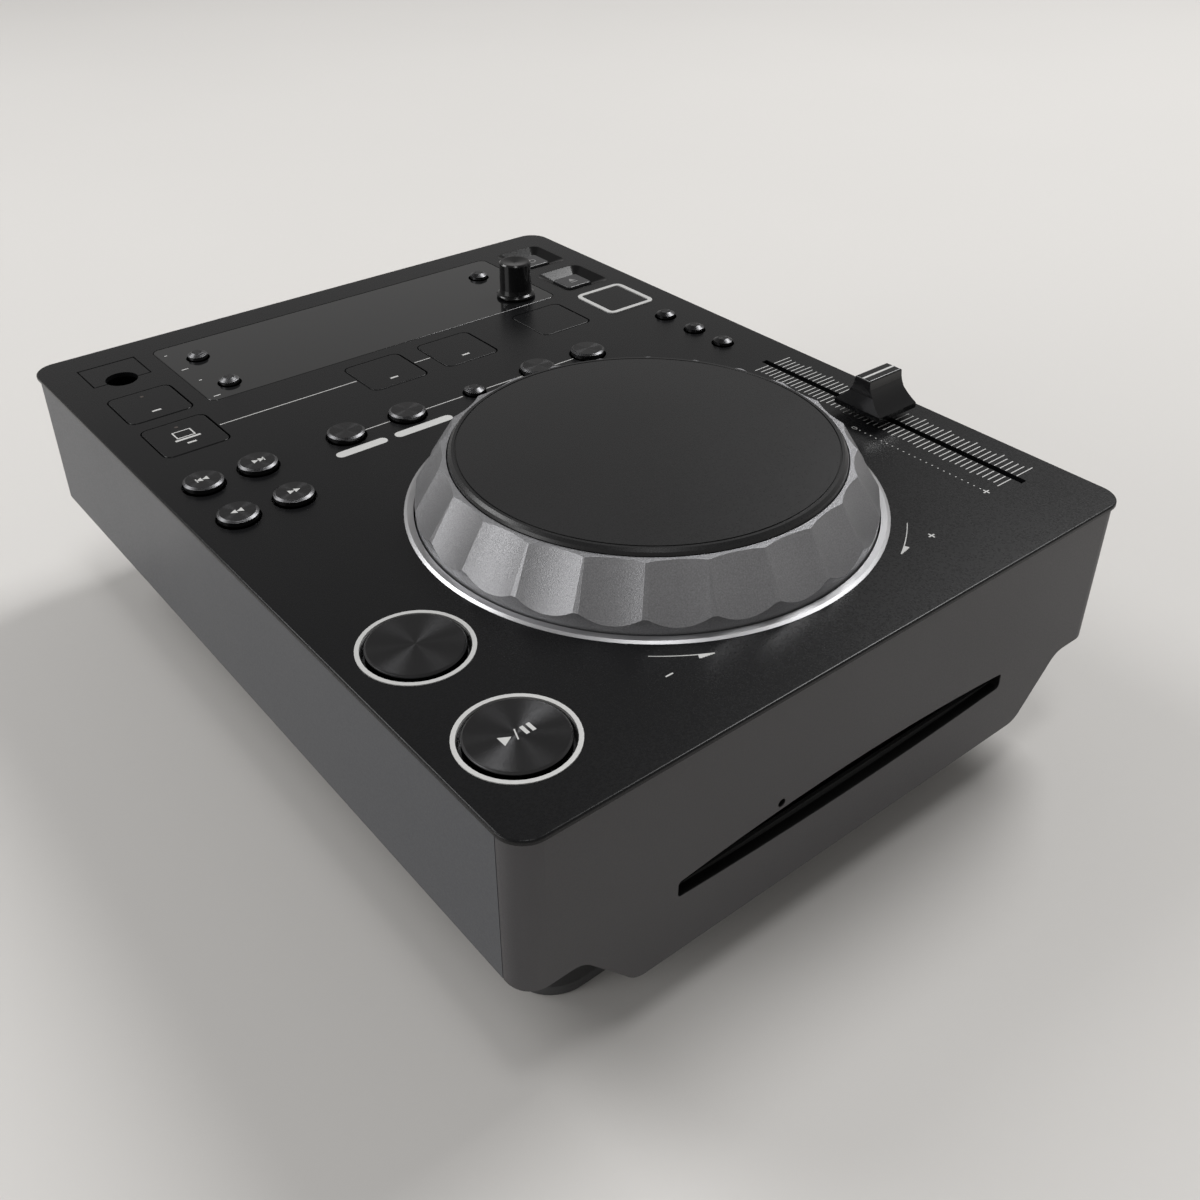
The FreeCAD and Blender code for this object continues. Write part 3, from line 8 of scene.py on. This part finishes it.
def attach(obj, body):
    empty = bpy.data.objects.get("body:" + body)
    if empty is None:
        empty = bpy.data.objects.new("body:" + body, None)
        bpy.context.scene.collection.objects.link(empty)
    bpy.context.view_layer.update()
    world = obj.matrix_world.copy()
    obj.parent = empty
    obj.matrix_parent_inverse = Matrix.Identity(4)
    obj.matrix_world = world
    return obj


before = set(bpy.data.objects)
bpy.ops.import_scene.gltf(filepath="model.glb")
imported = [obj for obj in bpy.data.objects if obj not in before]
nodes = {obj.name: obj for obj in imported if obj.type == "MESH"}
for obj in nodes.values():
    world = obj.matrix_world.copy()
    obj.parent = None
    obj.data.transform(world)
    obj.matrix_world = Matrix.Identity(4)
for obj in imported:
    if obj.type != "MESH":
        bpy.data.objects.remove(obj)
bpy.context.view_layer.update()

# Deck plate: a black lacquered moulding with fine wiping marks. Its printing is white ink
# laid straight on the plate, and places on it are in millimetres from the deck's middle. Marks
# that cross are set one LAYER apart.
MM = 0.001
LAYER = 0.001
DECK = Vector((0.0, -4.5, 87.1)) * MM


def material(name, colour, roughness, metallic=0.0, grain=900.0, bump=0.02, cloud=14.0, shift=0.25,
             coat=0.0, stretch=(1.0, 1.0, 1.0), patch=0.06, specular=0.5):
    """A surface with cloudy tone, uneven sheen and fine grain, all from object coordinates."""
    made = bpy.data.materials.new(name)
    made.use_nodes = True
    tree = made.node_tree
    shader = tree.nodes["Principled BSDF"]
    shader.inputs["Metallic"].default_value = metallic
    shader.inputs["Specular IOR Level"].default_value = specular
    shader.inputs["Coat Weight"].default_value = coat
    shader.inputs["Coat Roughness"].default_value = 0.12
    place = tree.nodes.new("ShaderNodeTexCoord")
    squeeze = tree.nodes.new("ShaderNodeMapping")
    squeeze.inputs["Scale"].default_value = stretch
    tree.links.new(place.outputs["Object"], squeeze.inputs["Vector"])
    wide = tree.nodes.new("ShaderNodeTexNoise")
    wide.inputs["Scale"].default_value = cloud
    wide.inputs["Detail"].default_value = 5.0
    fine = tree.nodes.new("ShaderNodeTexNoise")
    fine.inputs["Scale"].default_value = grain
    fine.inputs["Detail"].default_value = 3.0
    for noise in (wide, fine):
        tree.links.new(squeeze.outputs["Vector"], noise.inputs["Vector"])
    tone = tree.nodes.new("ShaderNodeMix")
    tone.data_type = "RGBA"
    tone.inputs["A"].default_value = (*[c * (1 - shift) for c in colour], 1.0)
    tone.inputs["B"].default_value = (*[c * (1 + shift) for c in colour], 1.0)
    tree.links.new(wide.outputs["Fac"], tone.inputs["Factor"])
    tree.links.new(tone.outputs["Result"], shader.inputs["Base Color"])
    both = tree.nodes.new("ShaderNodeMath")
    both.operation = "MULTIPLY"
    tree.links.new(wide.outputs["Fac"], both.inputs[0])
    tree.links.new(fine.outputs["Fac"], both.inputs[1])
    sheen = tree.nodes.new("ShaderNodeMapRange")
    sheen.inputs["From Min"].default_value = 0.12
    sheen.inputs["From Max"].default_value = 0.4
    sheen.inputs["To Min"].default_value = roughness - patch
    sheen.inputs["To Max"].default_value = roughness + patch
    tree.links.new(both.outputs["Value"], sheen.inputs["Value"])
    tree.links.new(sheen.outputs["Result"], shader.inputs["Roughness"])
    relief = tree.nodes.new("ShaderNodeBump")
    relief.inputs["Strength"].default_value = bump
    relief.inputs["Distance"].default_value = 0.0004
    tree.links.new(fine.outputs["Fac"], relief.inputs["Height"])
    tree.links.new(relief.outputs["Normal"], shader.inputs["Normal"])
    return made


def paint(surface, *names):
    for name in names:
        mesh = nodes[name].data
        mesh.materials.clear()
        mesh.materials.append(surface)


def add_marks(mesh, name, surface):
    """Gives a new mesh its object and its material, and links it into the scene."""
    data = bpy.data.meshes.new(name)
    bmesh.ops.recalc_face_normals(mesh, faces=mesh.faces)
    mesh.to_mesh(data)
    mesh.free()
    data.materials.append(surface)
    thing = bpy.data.objects.new(name, data)
    bpy.context.scene.collection.objects.link(thing)
    return thing


def bar(mesh, x, y, z, width, depth, height=0.03, turn=0.0):
    """A flat bar whose lowest face is at z, in millimetres from the deck's middle."""
    middle = DECK + Vector((x, y, z + height / 2)) * MM
    scale = Matrix.Diagonal((width * MM, depth * MM, height * MM, 1.0))
    spin = Matrix.Rotation(math.radians(turn), 4, "Z")
    bmesh.ops.create_cube(mesh, size=1.0, matrix=Matrix.Translation(middle) @ spin @ scale)


def disc(mesh, x, y, z, radius, height=0.03, sides=32, turn=0.0):
    """A flat disc, or a triangle if it has three sides, whose lowest face is at z."""
    middle = DECK + Vector((x, y, z + height / 2)) * MM
    spin = Matrix.Rotation(math.radians(turn), 4, "Z")
    bmesh.ops.create_cone(mesh, cap_ends=True, segments=sides, radius1=radius * MM,
                          radius2=radius * MM, depth=height * MM,
                          matrix=Matrix.Translation(middle) @ spin)


deck_black = material("deck_black", (0.0052, 0.0053, 0.0058), 0.27, grain=1500.0, bump=0.004, cloud=9.0,
                      shift=0.12, patch=0.05, specular=0.22)
paint(deck_black, "top_panel")

ink_white = material("ink_white", (0.5, 0.5, 0.49), 0.5, grain=2500.0, bump=0.05, shift=0.06)
printing = bmesh.new()

# Tempo scale: ticks on both sides of the slot, every fifth one long, a row of dots and a zero.
TICKS = 51
FIRST_TICK, LAST_TICK = -15.7, -116.0
SLOT_LEFT, SLOT_RIGHT = 91.9, 94.7
TICK_BREADTH = 0.34
SHORT_ENDS, LONG_ENDS = (86.2, 101.2), (85.4, 102.5)
for tick in range(TICKS):
    y = FIRST_TICK + (LAST_TICK - FIRST_TICK) * tick / (TICKS - 1)
    left, right = LONG_ENDS if tick % 5 == 0 else SHORT_ENDS
    bar(printing, (left + SLOT_LEFT) / 2, y, 0, SLOT_LEFT - left, TICK_BREADTH)
    bar(printing, (right + SLOT_RIGHT) / 2, y, 0, right - SLOT_RIGHT, TICK_BREADTH)
DOTS, DOT_RADIUS = 22, 0.24
DOT_X, FIRST_DOT, DOT_RUN = 80.25, -67.5, 46.25
for dot in range(DOTS):
    disc(printing, DOT_X, FIRST_DOT - dot * DOT_RUN / (DOTS - 1), 0, DOT_RADIUS, sides=10)
ZERO_STEPS, ZERO_Y = 16, -65.3
ZERO_HALF_WIDTH, ZERO_HALF_HEIGHT = 0.62, 0.9
ZERO_STROKE = (0.26, 0.36)
for step in range(ZERO_STEPS):
    angle = math.radians(step * 360 / ZERO_STEPS)
    bar(printing, DOT_X + ZERO_HALF_WIDTH * math.cos(angle),
        ZERO_Y + ZERO_HALF_HEIGHT * math.sin(angle), LAYER * (step % 2), *ZERO_STROKE,
        turn=math.degrees(angle))
SIGN_LENGTH, SIGN_BREADTH = 2.3, 0.45
for x, y, is_plus in ((DOT_X, -15.7, False), (DOT_X, -115.9, True),
                      (49.0, -121.0, True), (-47.75, -120.9, False)):
    bar(printing, x, y, 0, SIGN_LENGTH, SIGN_BREADTH)
    if is_plus:
        bar(printing, x, y, LAYER, SIGN_BREADTH, SIGN_LENGTH)

# Curved arrows beside the jog wheel, from their tail's angle to their tip's. The last part widens.
JOG_X, JOG_Y = 1.04, -55.76
ARROW_STEPS, ARROW_RADIUS, HEAD_SHARE = 24, 74.3, 0.24
TAIL_BREADTH, SHAFT_GROWTH, HEAD_BREADTH = 0.22, 0.12, 1.35
ARROW_OVERLAP = 1.15
for start, end in ((-130.3, -117.8), (-49.9, -62.5)):
    for step in range(ARROW_STEPS):
        part = (step + 0.5) / ARROW_STEPS
        angle = math.radians(start + (end - start) * part)
        head = (1 - part) / HEAD_SHARE if part > 1 - HEAD_SHARE else 0.0
        breadth = TAIL_BREADTH + SHAFT_GROWTH * part + HEAD_BREADTH * head
        reach = ARROW_RADIUS + (breadth - 0.3) / 2
        length = reach * math.radians(abs(end - start)) / ARROW_STEPS * ARROW_OVERLAP
        bar(printing, JOG_X + reach * math.cos(angle), JOG_Y + reach * math.sin(angle),
            LAYER * (step % 2), length, breadth, turn=math.degrees(angle) + 90)

# Short dashes by the window's buttons, lines that join the controls, and two rounded bars.
for x, y, width in ((-67.2, 109.7, 2.4), (-67.2, 84.0, 2.4), (-68.0, 124.3, 1.0), (-66.6, 98.5, 1.0)):
    bar(printing, x, y, 0, width, 0.5)
LOOP_LINE, SOURCE_LINE, LINE_BREADTH = 31.6, 64.0, 0.38
for left, right, y in ((-41.3, -32.0, LOOP_LINE), (-18.9, -4.0, LOOP_LINE), (5.6, 20.7, LOOP_LINE),
                       (33.7, 42.7, LOOP_LINE), (-75.6, -25.6, SOURCE_LINE), (-2.5, 4.0, SOURCE_LINE)):
    bar(printing, (left + right) / 2, y, 0, right - left, LINE_BREADTH)
BAR_Y, BAR_END = 22.1, 1.8
for left, right in ((-56.75, -38.9), (-35.9, -14.6)):
    bar(printing, (left + right) / 2, BAR_Y, 0, right - left - BAR_END * 2, BAR_END * 2)
    for x in (left + BAR_END, right - BAR_END):
        disc(printing, x, BAR_Y, LAYER, BAR_END, sides=24)
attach(add_marks(printing, "deck_printing", ink_white), "case")

# Side walls and fascia: charcoal moulding with a fine matt grain. The fascia carries painted shade,
# near-black wherever it lies behind its face and between the ends of the slot, so the slot looks deep.
case_grey = material("case_grey", (0.052, 0.055, 0.062), 0.4, grain=2200.0, bump=0.05, cloud=7.0,
                     shift=0.12, patch=0.06)
paint(case_grey, "case_shell")
FASCIA_FACE, SLOT_HALF = -147.1 * MM, 66.0 * MM
fascia_grey = material("fascia_grey", (0.04, 0.038, 0.041), 0.42, grain=2200.0, bump=0.05, cloud=7.0,
                       shift=0.12, patch=0.06)
tree = fascia_grey.node_tree
depth = tree.nodes.new("ShaderNodeSeparateXYZ")
tree.links.new(tree.nodes["Texture Coordinate"].outputs["Object"], depth.inputs["Vector"])
inside = tree.nodes.new("ShaderNodeMath")
inside.operation = "GREATER_THAN"
inside.inputs[1].default_value = FASCIA_FACE
tree.links.new(depth.outputs["Y"], inside.inputs[0])
sideways = tree.nodes.new("ShaderNodeMath")
sideways.operation = "ABSOLUTE"
tree.links.new(depth.outputs["X"], sideways.inputs[0])
near = tree.nodes.new("ShaderNodeMath")
near.operation = "LESS_THAN"
near.inputs[1].default_value = SLOT_HALF
tree.links.new(sideways.outputs["Value"], near.inputs[0])
slot_shade_mask = tree.nodes.new("ShaderNodeMath")
slot_shade_mask.operation = "MULTIPLY"
tree.links.new(inside.outputs["Value"], slot_shade_mask.inputs[0])
tree.links.new(near.outputs["Value"], slot_shade_mask.inputs[1])
# Painted shade: inside the slot the fascia's colour is mixed to near-black.
painted_slot_shade = tree.nodes.new("ShaderNodeMix")
painted_slot_shade.data_type = "RGBA"
painted_slot_shade.inputs["B"].default_value = (0.003, 0.003, 0.003, 1.0)
tree.links.new(slot_shade_mask.outputs["Value"], painted_slot_shade.inputs["Factor"])
tree.links.new(tree.nodes["Mix"].outputs["Result"], painted_slot_shade.inputs["A"])
tree.links.new(painted_slot_shade.outputs["Result"], tree.nodes["Principled BSDF"].inputs["Base Color"])
paint(fascia_grey, "front_panel")
felt_black = material("felt_black", (0.006, 0.006, 0.006), 0.95, grain=3500.0, bump=0.8, patch=0.03)
paint(felt_black, "slot_felts")

# Under-case with its four legs: black moulding on grey rubber pads, and the zinc-plated screws
# that hold the disc drive.
base_black = material("base_black", (0.02, 0.02, 0.021), 0.5, grain=1800.0, bump=0.08)
paint(base_black, "bottom_case")
foot_rubber = material("foot_rubber", (0.055, 0.055, 0.056), 0.8, grain=1200.0, bump=0.25)
paint(foot_rubber, "foot_pads")
zinc = material("zinc", (0.5, 0.5, 0.52), 0.3, 1.0, grain=3000.0, bump=0.04)
paint(zinc, "case_screws", "lead_screw")

# Display: a smoked glossy window over the screen module, which is dark as it is in the photo.
window_black = material("window_black", (0.006, 0.0062, 0.0066), 0.06, coat=0.3, grain=1600.0,
                        bump=0.003, cloud=6.0, patch=0.03)
paint(window_black, "display_window")
screen_grey = material("screen_grey", (0.02, 0.022, 0.024), 0.25, grain=900.0, bump=0.01)
paint(screen_grey, "display_module")

# Jog wheel: a scalloped rim in flecked silver lacquer, a black touch disc, a bright trim ring and
# the bearing plate below. The pale rings of the main buttons are set beside it.
rim_silver = material("rim_silver", (0.3, 0.3, 0.31), 0.43, 0.88, grain=3600.0, bump=0.3,
                      cloud=2600.0, shift=0.4)
paint(rim_silver, "jog_wheel")
disc_black = material("disc_black", (0.008, 0.008, 0.0085), 0.3, grain=1800.0, bump=0.01,
                      cloud=12.0, patch=0.05, specular=0.4)
paint(disc_black, "jog_top")
trim_silver = material("trim_silver", (0.5, 0.5, 0.51), 0.34, 1.0, grain=2400.0, bump=0.01)
paint(trim_silver, "jog_ring")
ring_white = material("ring_white", (0.62, 0.62, 0.61), 0.35, 0.35, grain=2400.0, bump=0.02, shift=0.05)
paint(ring_white, "button_trims")
inner_black = material("inner_black", (0.02, 0.02, 0.021), 0.6, grain=900.0, bump=0.1)
paint(inner_black, "jog_base")

# Round buttons: black lacquer over a spun face, so the light fans out from each middle. Play,
# track and search carry their usual arrows, and the two large ones sit in pale rings.
BUTTONS = {
    "cue_button": (-88.75, -73.94), "play_button": (-88.75, -116.04),
    "track_back_button": (-95.8, 31.4), "track_next_button": (-78.3, 31.4),
    "search_back_button": (-95.8, 8.5), "search_next_button": (-78.3, 8.5),
    "loop_in_button": (-47.9, 31.7), "loop_out_button": (-25.4, 31.7),
    "reloop_button": (0.8, 31.7), "loop_half_button": (27.2, 31.7),
    "loop_double_button": (49.2, 31.7), "time_button": (-59.6, 115.9),
    "display_button": (-59.6, 90.6), "menu_back_button": (60.1, 115.6),
    "vinyl_button": (92.6, 39.1), "range_button": (92.6, 23.1),
    "master_tempo_button": (92.6, 8.1),
}
TINT = 0.075
GROOVES_PER_METRE = 21000.0


def spun_black(name, x, y):
    """Metal whose brushing runs in circles round (x, y), with fine turned grooves."""
    spun = material("spun_" + name, (TINT, TINT, TINT * 1.03), 0.22, 1.0, grain=1500.0, bump=0.004,
                    patch=0.02)
    tree = spun.node_tree
    shader = tree.nodes["Principled BSDF"]
    shader.inputs["Anisotropic"].default_value = 0.95
    arm = tree.nodes.new("ShaderNodeVectorMath")
    arm.operation = "SUBTRACT"
    arm.inputs[1].default_value = DECK + Vector((x, y, 0)) * MM
    tree.links.new(tree.nodes["Texture Coordinate"].outputs["Object"], arm.inputs[0])
    across = tree.nodes.new("ShaderNodeVectorMath")
    across.operation = "CROSS_PRODUCT"
    across.inputs[1].default_value = (0, 0, 1)
    tree.links.new(arm.outputs["Vector"], across.inputs[0])
    unit = tree.nodes.new("ShaderNodeVectorMath")
    unit.operation = "NORMALIZE"
    tree.links.new(across.outputs["Vector"], unit.inputs[0])
    tree.links.new(unit.outputs["Vector"], shader.inputs["Tangent"])
    reach = tree.nodes.new("ShaderNodeVectorMath")
    reach.operation = "LENGTH"
    tree.links.new(arm.outputs["Vector"], reach.inputs[0])
    waves = tree.nodes.new("ShaderNodeMath")
    waves.operation = "MULTIPLY"
    waves.inputs[1].default_value = GROOVES_PER_METRE
    tree.links.new(reach.outputs["Value"], waves.inputs[0])
    groove = tree.nodes.new("ShaderNodeMath")
    groove.operation = "SINE"
    tree.links.new(waves.outputs["Value"], groove.inputs[0])
    turned = tree.nodes.new("ShaderNodeBump")
    turned.inputs["Strength"].default_value = 0.12
    turned.inputs["Distance"].default_value = 0.00002
    tree.links.new(groove.outputs["Value"], turned.inputs["Height"])
    tree.links.new(turned.outputs["Normal"], shader.inputs["Normal"])
    paint(spun, name)


for name, (x, y) in BUTTONS.items():
    spun_black(name, x, y)
sign = bmesh.new()
x, y = BUTTONS["play_button"]
PLAY_TOP = 1.1
disc(sign, x - 3.4, y, PLAY_TOP, 1.9, sides=3, turn=-90)
bar(sign, x - 0.2, y, PLAY_TOP, 0.35, 3.6, turn=-20)
for across in (2.1, 3.9):
    bar(sign, x + across, y, PLAY_TOP, 1.0, 2.9)
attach(add_marks(sign, "play_sign", ink_white), "play_button_press_body")
CAP_TOP = 2.2
for name, way, has_stop in (("track_back_button", -1, True), ("track_next_button", 1, True),
                            ("search_back_button", -1, False), ("search_next_button", 1, False)):
    x, y = BUTTONS[name]
    sign = bmesh.new()
    for step in (-0.95, 0.95):
        disc(sign, x + step, y, CAP_TOP, 1.25, sides=3, turn=-90 * way)
    if has_stop:
        bar(sign, x + way * 2.0, y, CAP_TOP, 0.4, 2.1)
    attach(add_marks(sign, name.replace("button", "sign"), ink_white), name + "_press_body")

# Flush pads with their small lamps and dashes, the lock key, and the keys in their sloped wells.
# The link pad also carries a little screen over its stand.
paint(deck_black, "usb_stop_pad", "link_pad", "usb_pad", "disc_pad", "playlist_pad", "lock_key")
well_black = material("well_black", (0.003, 0.003, 0.0032), 0.2, grain=1500.0, bump=0.003,
                      specular=0.25, patch=0.03)
paint(well_black, "well_bezels")
key_grey = material("key_grey", (0.03, 0.03, 0.032), 0.25, grain=2000.0, bump=0.01)
paint(key_grey, "standby_key", "eject_key")
lamp_dark = material("lamp_dark", (0.05, 0.04, 0.035), 0.15, grain=900.0, bump=0.01)
for name, x, y, has_lamp, dash in (("usb_stop_pad", -87.25, 91.9, True, -5.4),
                                   ("link_pad", -87.25, 64.1, True, -5.1),
                                   ("usb_pad", -14.0, 64.1, False, -5.5),
                                   ("disc_pad", 15.5, 64.1, False, -5.5)):
    sign = bmesh.new()
    bar(sign, x, y + dash, 0, 3.0, 0.9)
    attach(add_marks(sign, name + "_dash", ink_white), name + "_tilt_body")
    if name == "link_pad":
        screen = bmesh.new()
        for across in (-2.9, 2.9):
            bar(screen, x + across + 0.1, y + 1.6, 0, 0.45, 4.4)
        for along in (-0.6, 3.8):
            bar(screen, x + 0.1, y + along, LAYER, 6.2, 0.45)
        bar(screen, x + 0.1, y - 1.9, 0, 8.4, 1.0)
        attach(add_marks(screen, "link_pad_screen_sign", ink_white), name + "_tilt_body")
    if has_lamp:
        dot = bmesh.new()
        disc(dot, x, y + 7.0, 0, 0.6, height=0.05, sides=16)
        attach(add_marks(dot, name + "_lamp", lamp_dark), name + "_tilt_body")
ink_grey = material("ink_grey", (0.2, 0.2, 0.2), 0.5, grain=2500.0, bump=0.05, shift=0.06)
KEY_X, KEY_TOP = 89.25, -1.2
eject = bmesh.new()
disc(eject, KEY_X, 92.3, KEY_TOP, 1.8, sides=3)
bar(eject, KEY_X, 90.4, KEY_TOP, 3.1, 0.55)
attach(add_marks(eject, "eject_sign", ink_grey), "eject_key_press_body")
standby = bmesh.new()
RING_STEPS, RING_RADIUS, RING_START, RING_STEP = 20, 1.7, 125, 15.3
for step in range(RING_STEPS):
    angle = math.radians(RING_START + step * RING_STEP)
    bar(standby, KEY_X + RING_RADIUS * math.cos(angle), 119.6 + RING_RADIUS * math.sin(angle),
        KEY_TOP + LAYER * (step % 2), 0.5, 0.4, turn=math.degrees(angle) + 90)
bar(standby, KEY_X, 121.0, KEY_TOP, 0.42, 2.2)
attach(add_marks(standby, "standby_sign", ink_grey), "standby_key_press_body")

# Selector: a glossy knob over its switch plunger and its steel encoder. The other drawn-steel
# cases share that steel.
knob_gloss = material("knob_gloss", (0.004, 0.004, 0.0042), 0.16, grain=1500.0, bump=0.01,
                      specular=0.4, patch=0.04)
paint(knob_gloss, "selector_knob")
paint(inner_black, "selector_plunger")
steel = material("steel", (0.5, 0.5, 0.52), 0.36, 1.0, grain=1400.0, bump=0.03, stretch=(1, 12, 1))
paint(steel, "selector_encoder", "fader_body", "usb_b_port", "usb_a_socket", "drive_motors")

# Tempo slider: a glossy scooped knob, with a white line over its crown that travels with it.
knob_black = material("knob_black", (0.005, 0.005, 0.0055), 0.17, grain=1500.0, bump=0.004,
                      specular=0.45, patch=0.04)
paint(knob_black, "tempo_knob")
line = bmesh.new()
bar(line, 93.4, -61.8, 14.3, 15.0, 0.85)
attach(add_marks(line, "tempo_line", ink_white), "tempo_slide_body")

# USB hatch, lacquered like the deck, and the sockets at the back: a black mains inlet and
# gilt phono and control jacks.
paint(deck_black, "usb_hatch")
paint(inner_black, "mains_inlet")
gilt = material("gilt", (0.7, 0.6, 0.38), 0.25, 1.0, grain=1800.0, bump=0.02)
paint(gilt, "rear_jacks")

# Inside: green circuit boards, and the disc drive with its brushed sheet chassis and cover, its
# black hub and lens sled, and its rubber roller.
board_green = material("board_green", (0.012, 0.07, 0.03), 0.4, grain=500.0, bump=0.1, cloud=60.0,
                       shift=0.4)
paint(board_green, "control_board", "main_board", "power_supply")
sheet_steel = material("sheet_steel", (0.45, 0.46, 0.48), 0.38, 1.0, grain=1100.0, bump=0.03,
                       stretch=(14, 1, 1))
paint(sheet_steel, "drive_chassis", "drive_cover")
paint(inner_black, "disc_hub", "optical_sled")
paint(foot_rubber, "load_roller")

# Floor, light and camera. The camera stands where the photo was taken from, and the main light
# comes from the right, since the shadow in the photo lies on the left.
cloth = material("cloth", (0.62, 0.605, 0.585), 0.85, grain=300.0, bump=0.02, cloud=3.0, shift=0.02)
ground = bmesh.new()
bmesh.ops.create_grid(ground, x_segments=1, y_segments=1, size=6.0)
floor = add_marks(ground, "floor", cloth)
world = bpy.data.worlds.new("room")
bpy.context.scene.world = world
world.use_nodes = True
tree = world.node_tree
sky = tree.nodes.new("ShaderNodeTexCoord")
height = tree.nodes.new("ShaderNodeSeparateXYZ")
tree.links.new(sky.outputs["Generated"], height.inputs["Vector"])
shade = tree.nodes.new("ShaderNodeMapRange")
shade.inputs["From Min"].default_value = 0.0
shade.inputs["From Max"].default_value = 0.9
shade.inputs["To Min"].default_value = 0.5
shade.inputs["To Max"].default_value = 0.16
tree.links.new(height.outputs["Z"], shade.inputs["Value"])
tree.links.new(shade.outputs["Result"], tree.nodes["Background"].inputs["Strength"])
tree.nodes["Background"].inputs["Color"].default_value = (1.0, 0.985, 0.97, 1.0)
LIGHTS = (("key", (1.5, 0.2, 1.9), 1.0, 36.0), ("back", (-0.8, 1.3, 1.5), 0.9, 15.0),
          ("left", (-1.9, 0.5, 0.6), 1.2, 12.0), ("above", (-0.2, -0.5, 2.3), 0.5, 7.0))
for name, place, breadth, power in LIGHTS:
    lamp = bpy.data.lights.new(name, "AREA")
    lamp.shape = "DISK"
    lamp.size = breadth
    lamp.energy = power
    light = bpy.data.objects.new(name, lamp)
    bpy.context.scene.collection.objects.link(light)
    light.location = place
    light.rotation_euler = (-Vector(place)).to_track_quat("-Z", "Y").to_euler()
lens = bpy.data.cameras.new("camera")
lens.lens = 38.316
lens.sensor_width = 36.0
lens.shift_x = 0.00777
lens.shift_y = -0.0439
lens.dof.use_dof = False
camera = bpy.data.objects.new("camera", lens)
bpy.context.scene.collection.objects.link(camera)
right = Vector((0.780484, -0.625166, -0.003481))
up = Vector((0.346559, 0.428012, 0.834687))
back = Vector((-0.520328, -0.652667, 0.550713))
turn = Matrix((right, up, back)).transposed().to_4x4()
STANDPOINT = (-0.20932, -0.29836, 0.27911)
camera.matrix_world = Matrix.Translation(STANDPOINT) @ turn
bpy.context.scene.camera = camera
bpy.context.scene.view_settings.view_transform = "Standard"
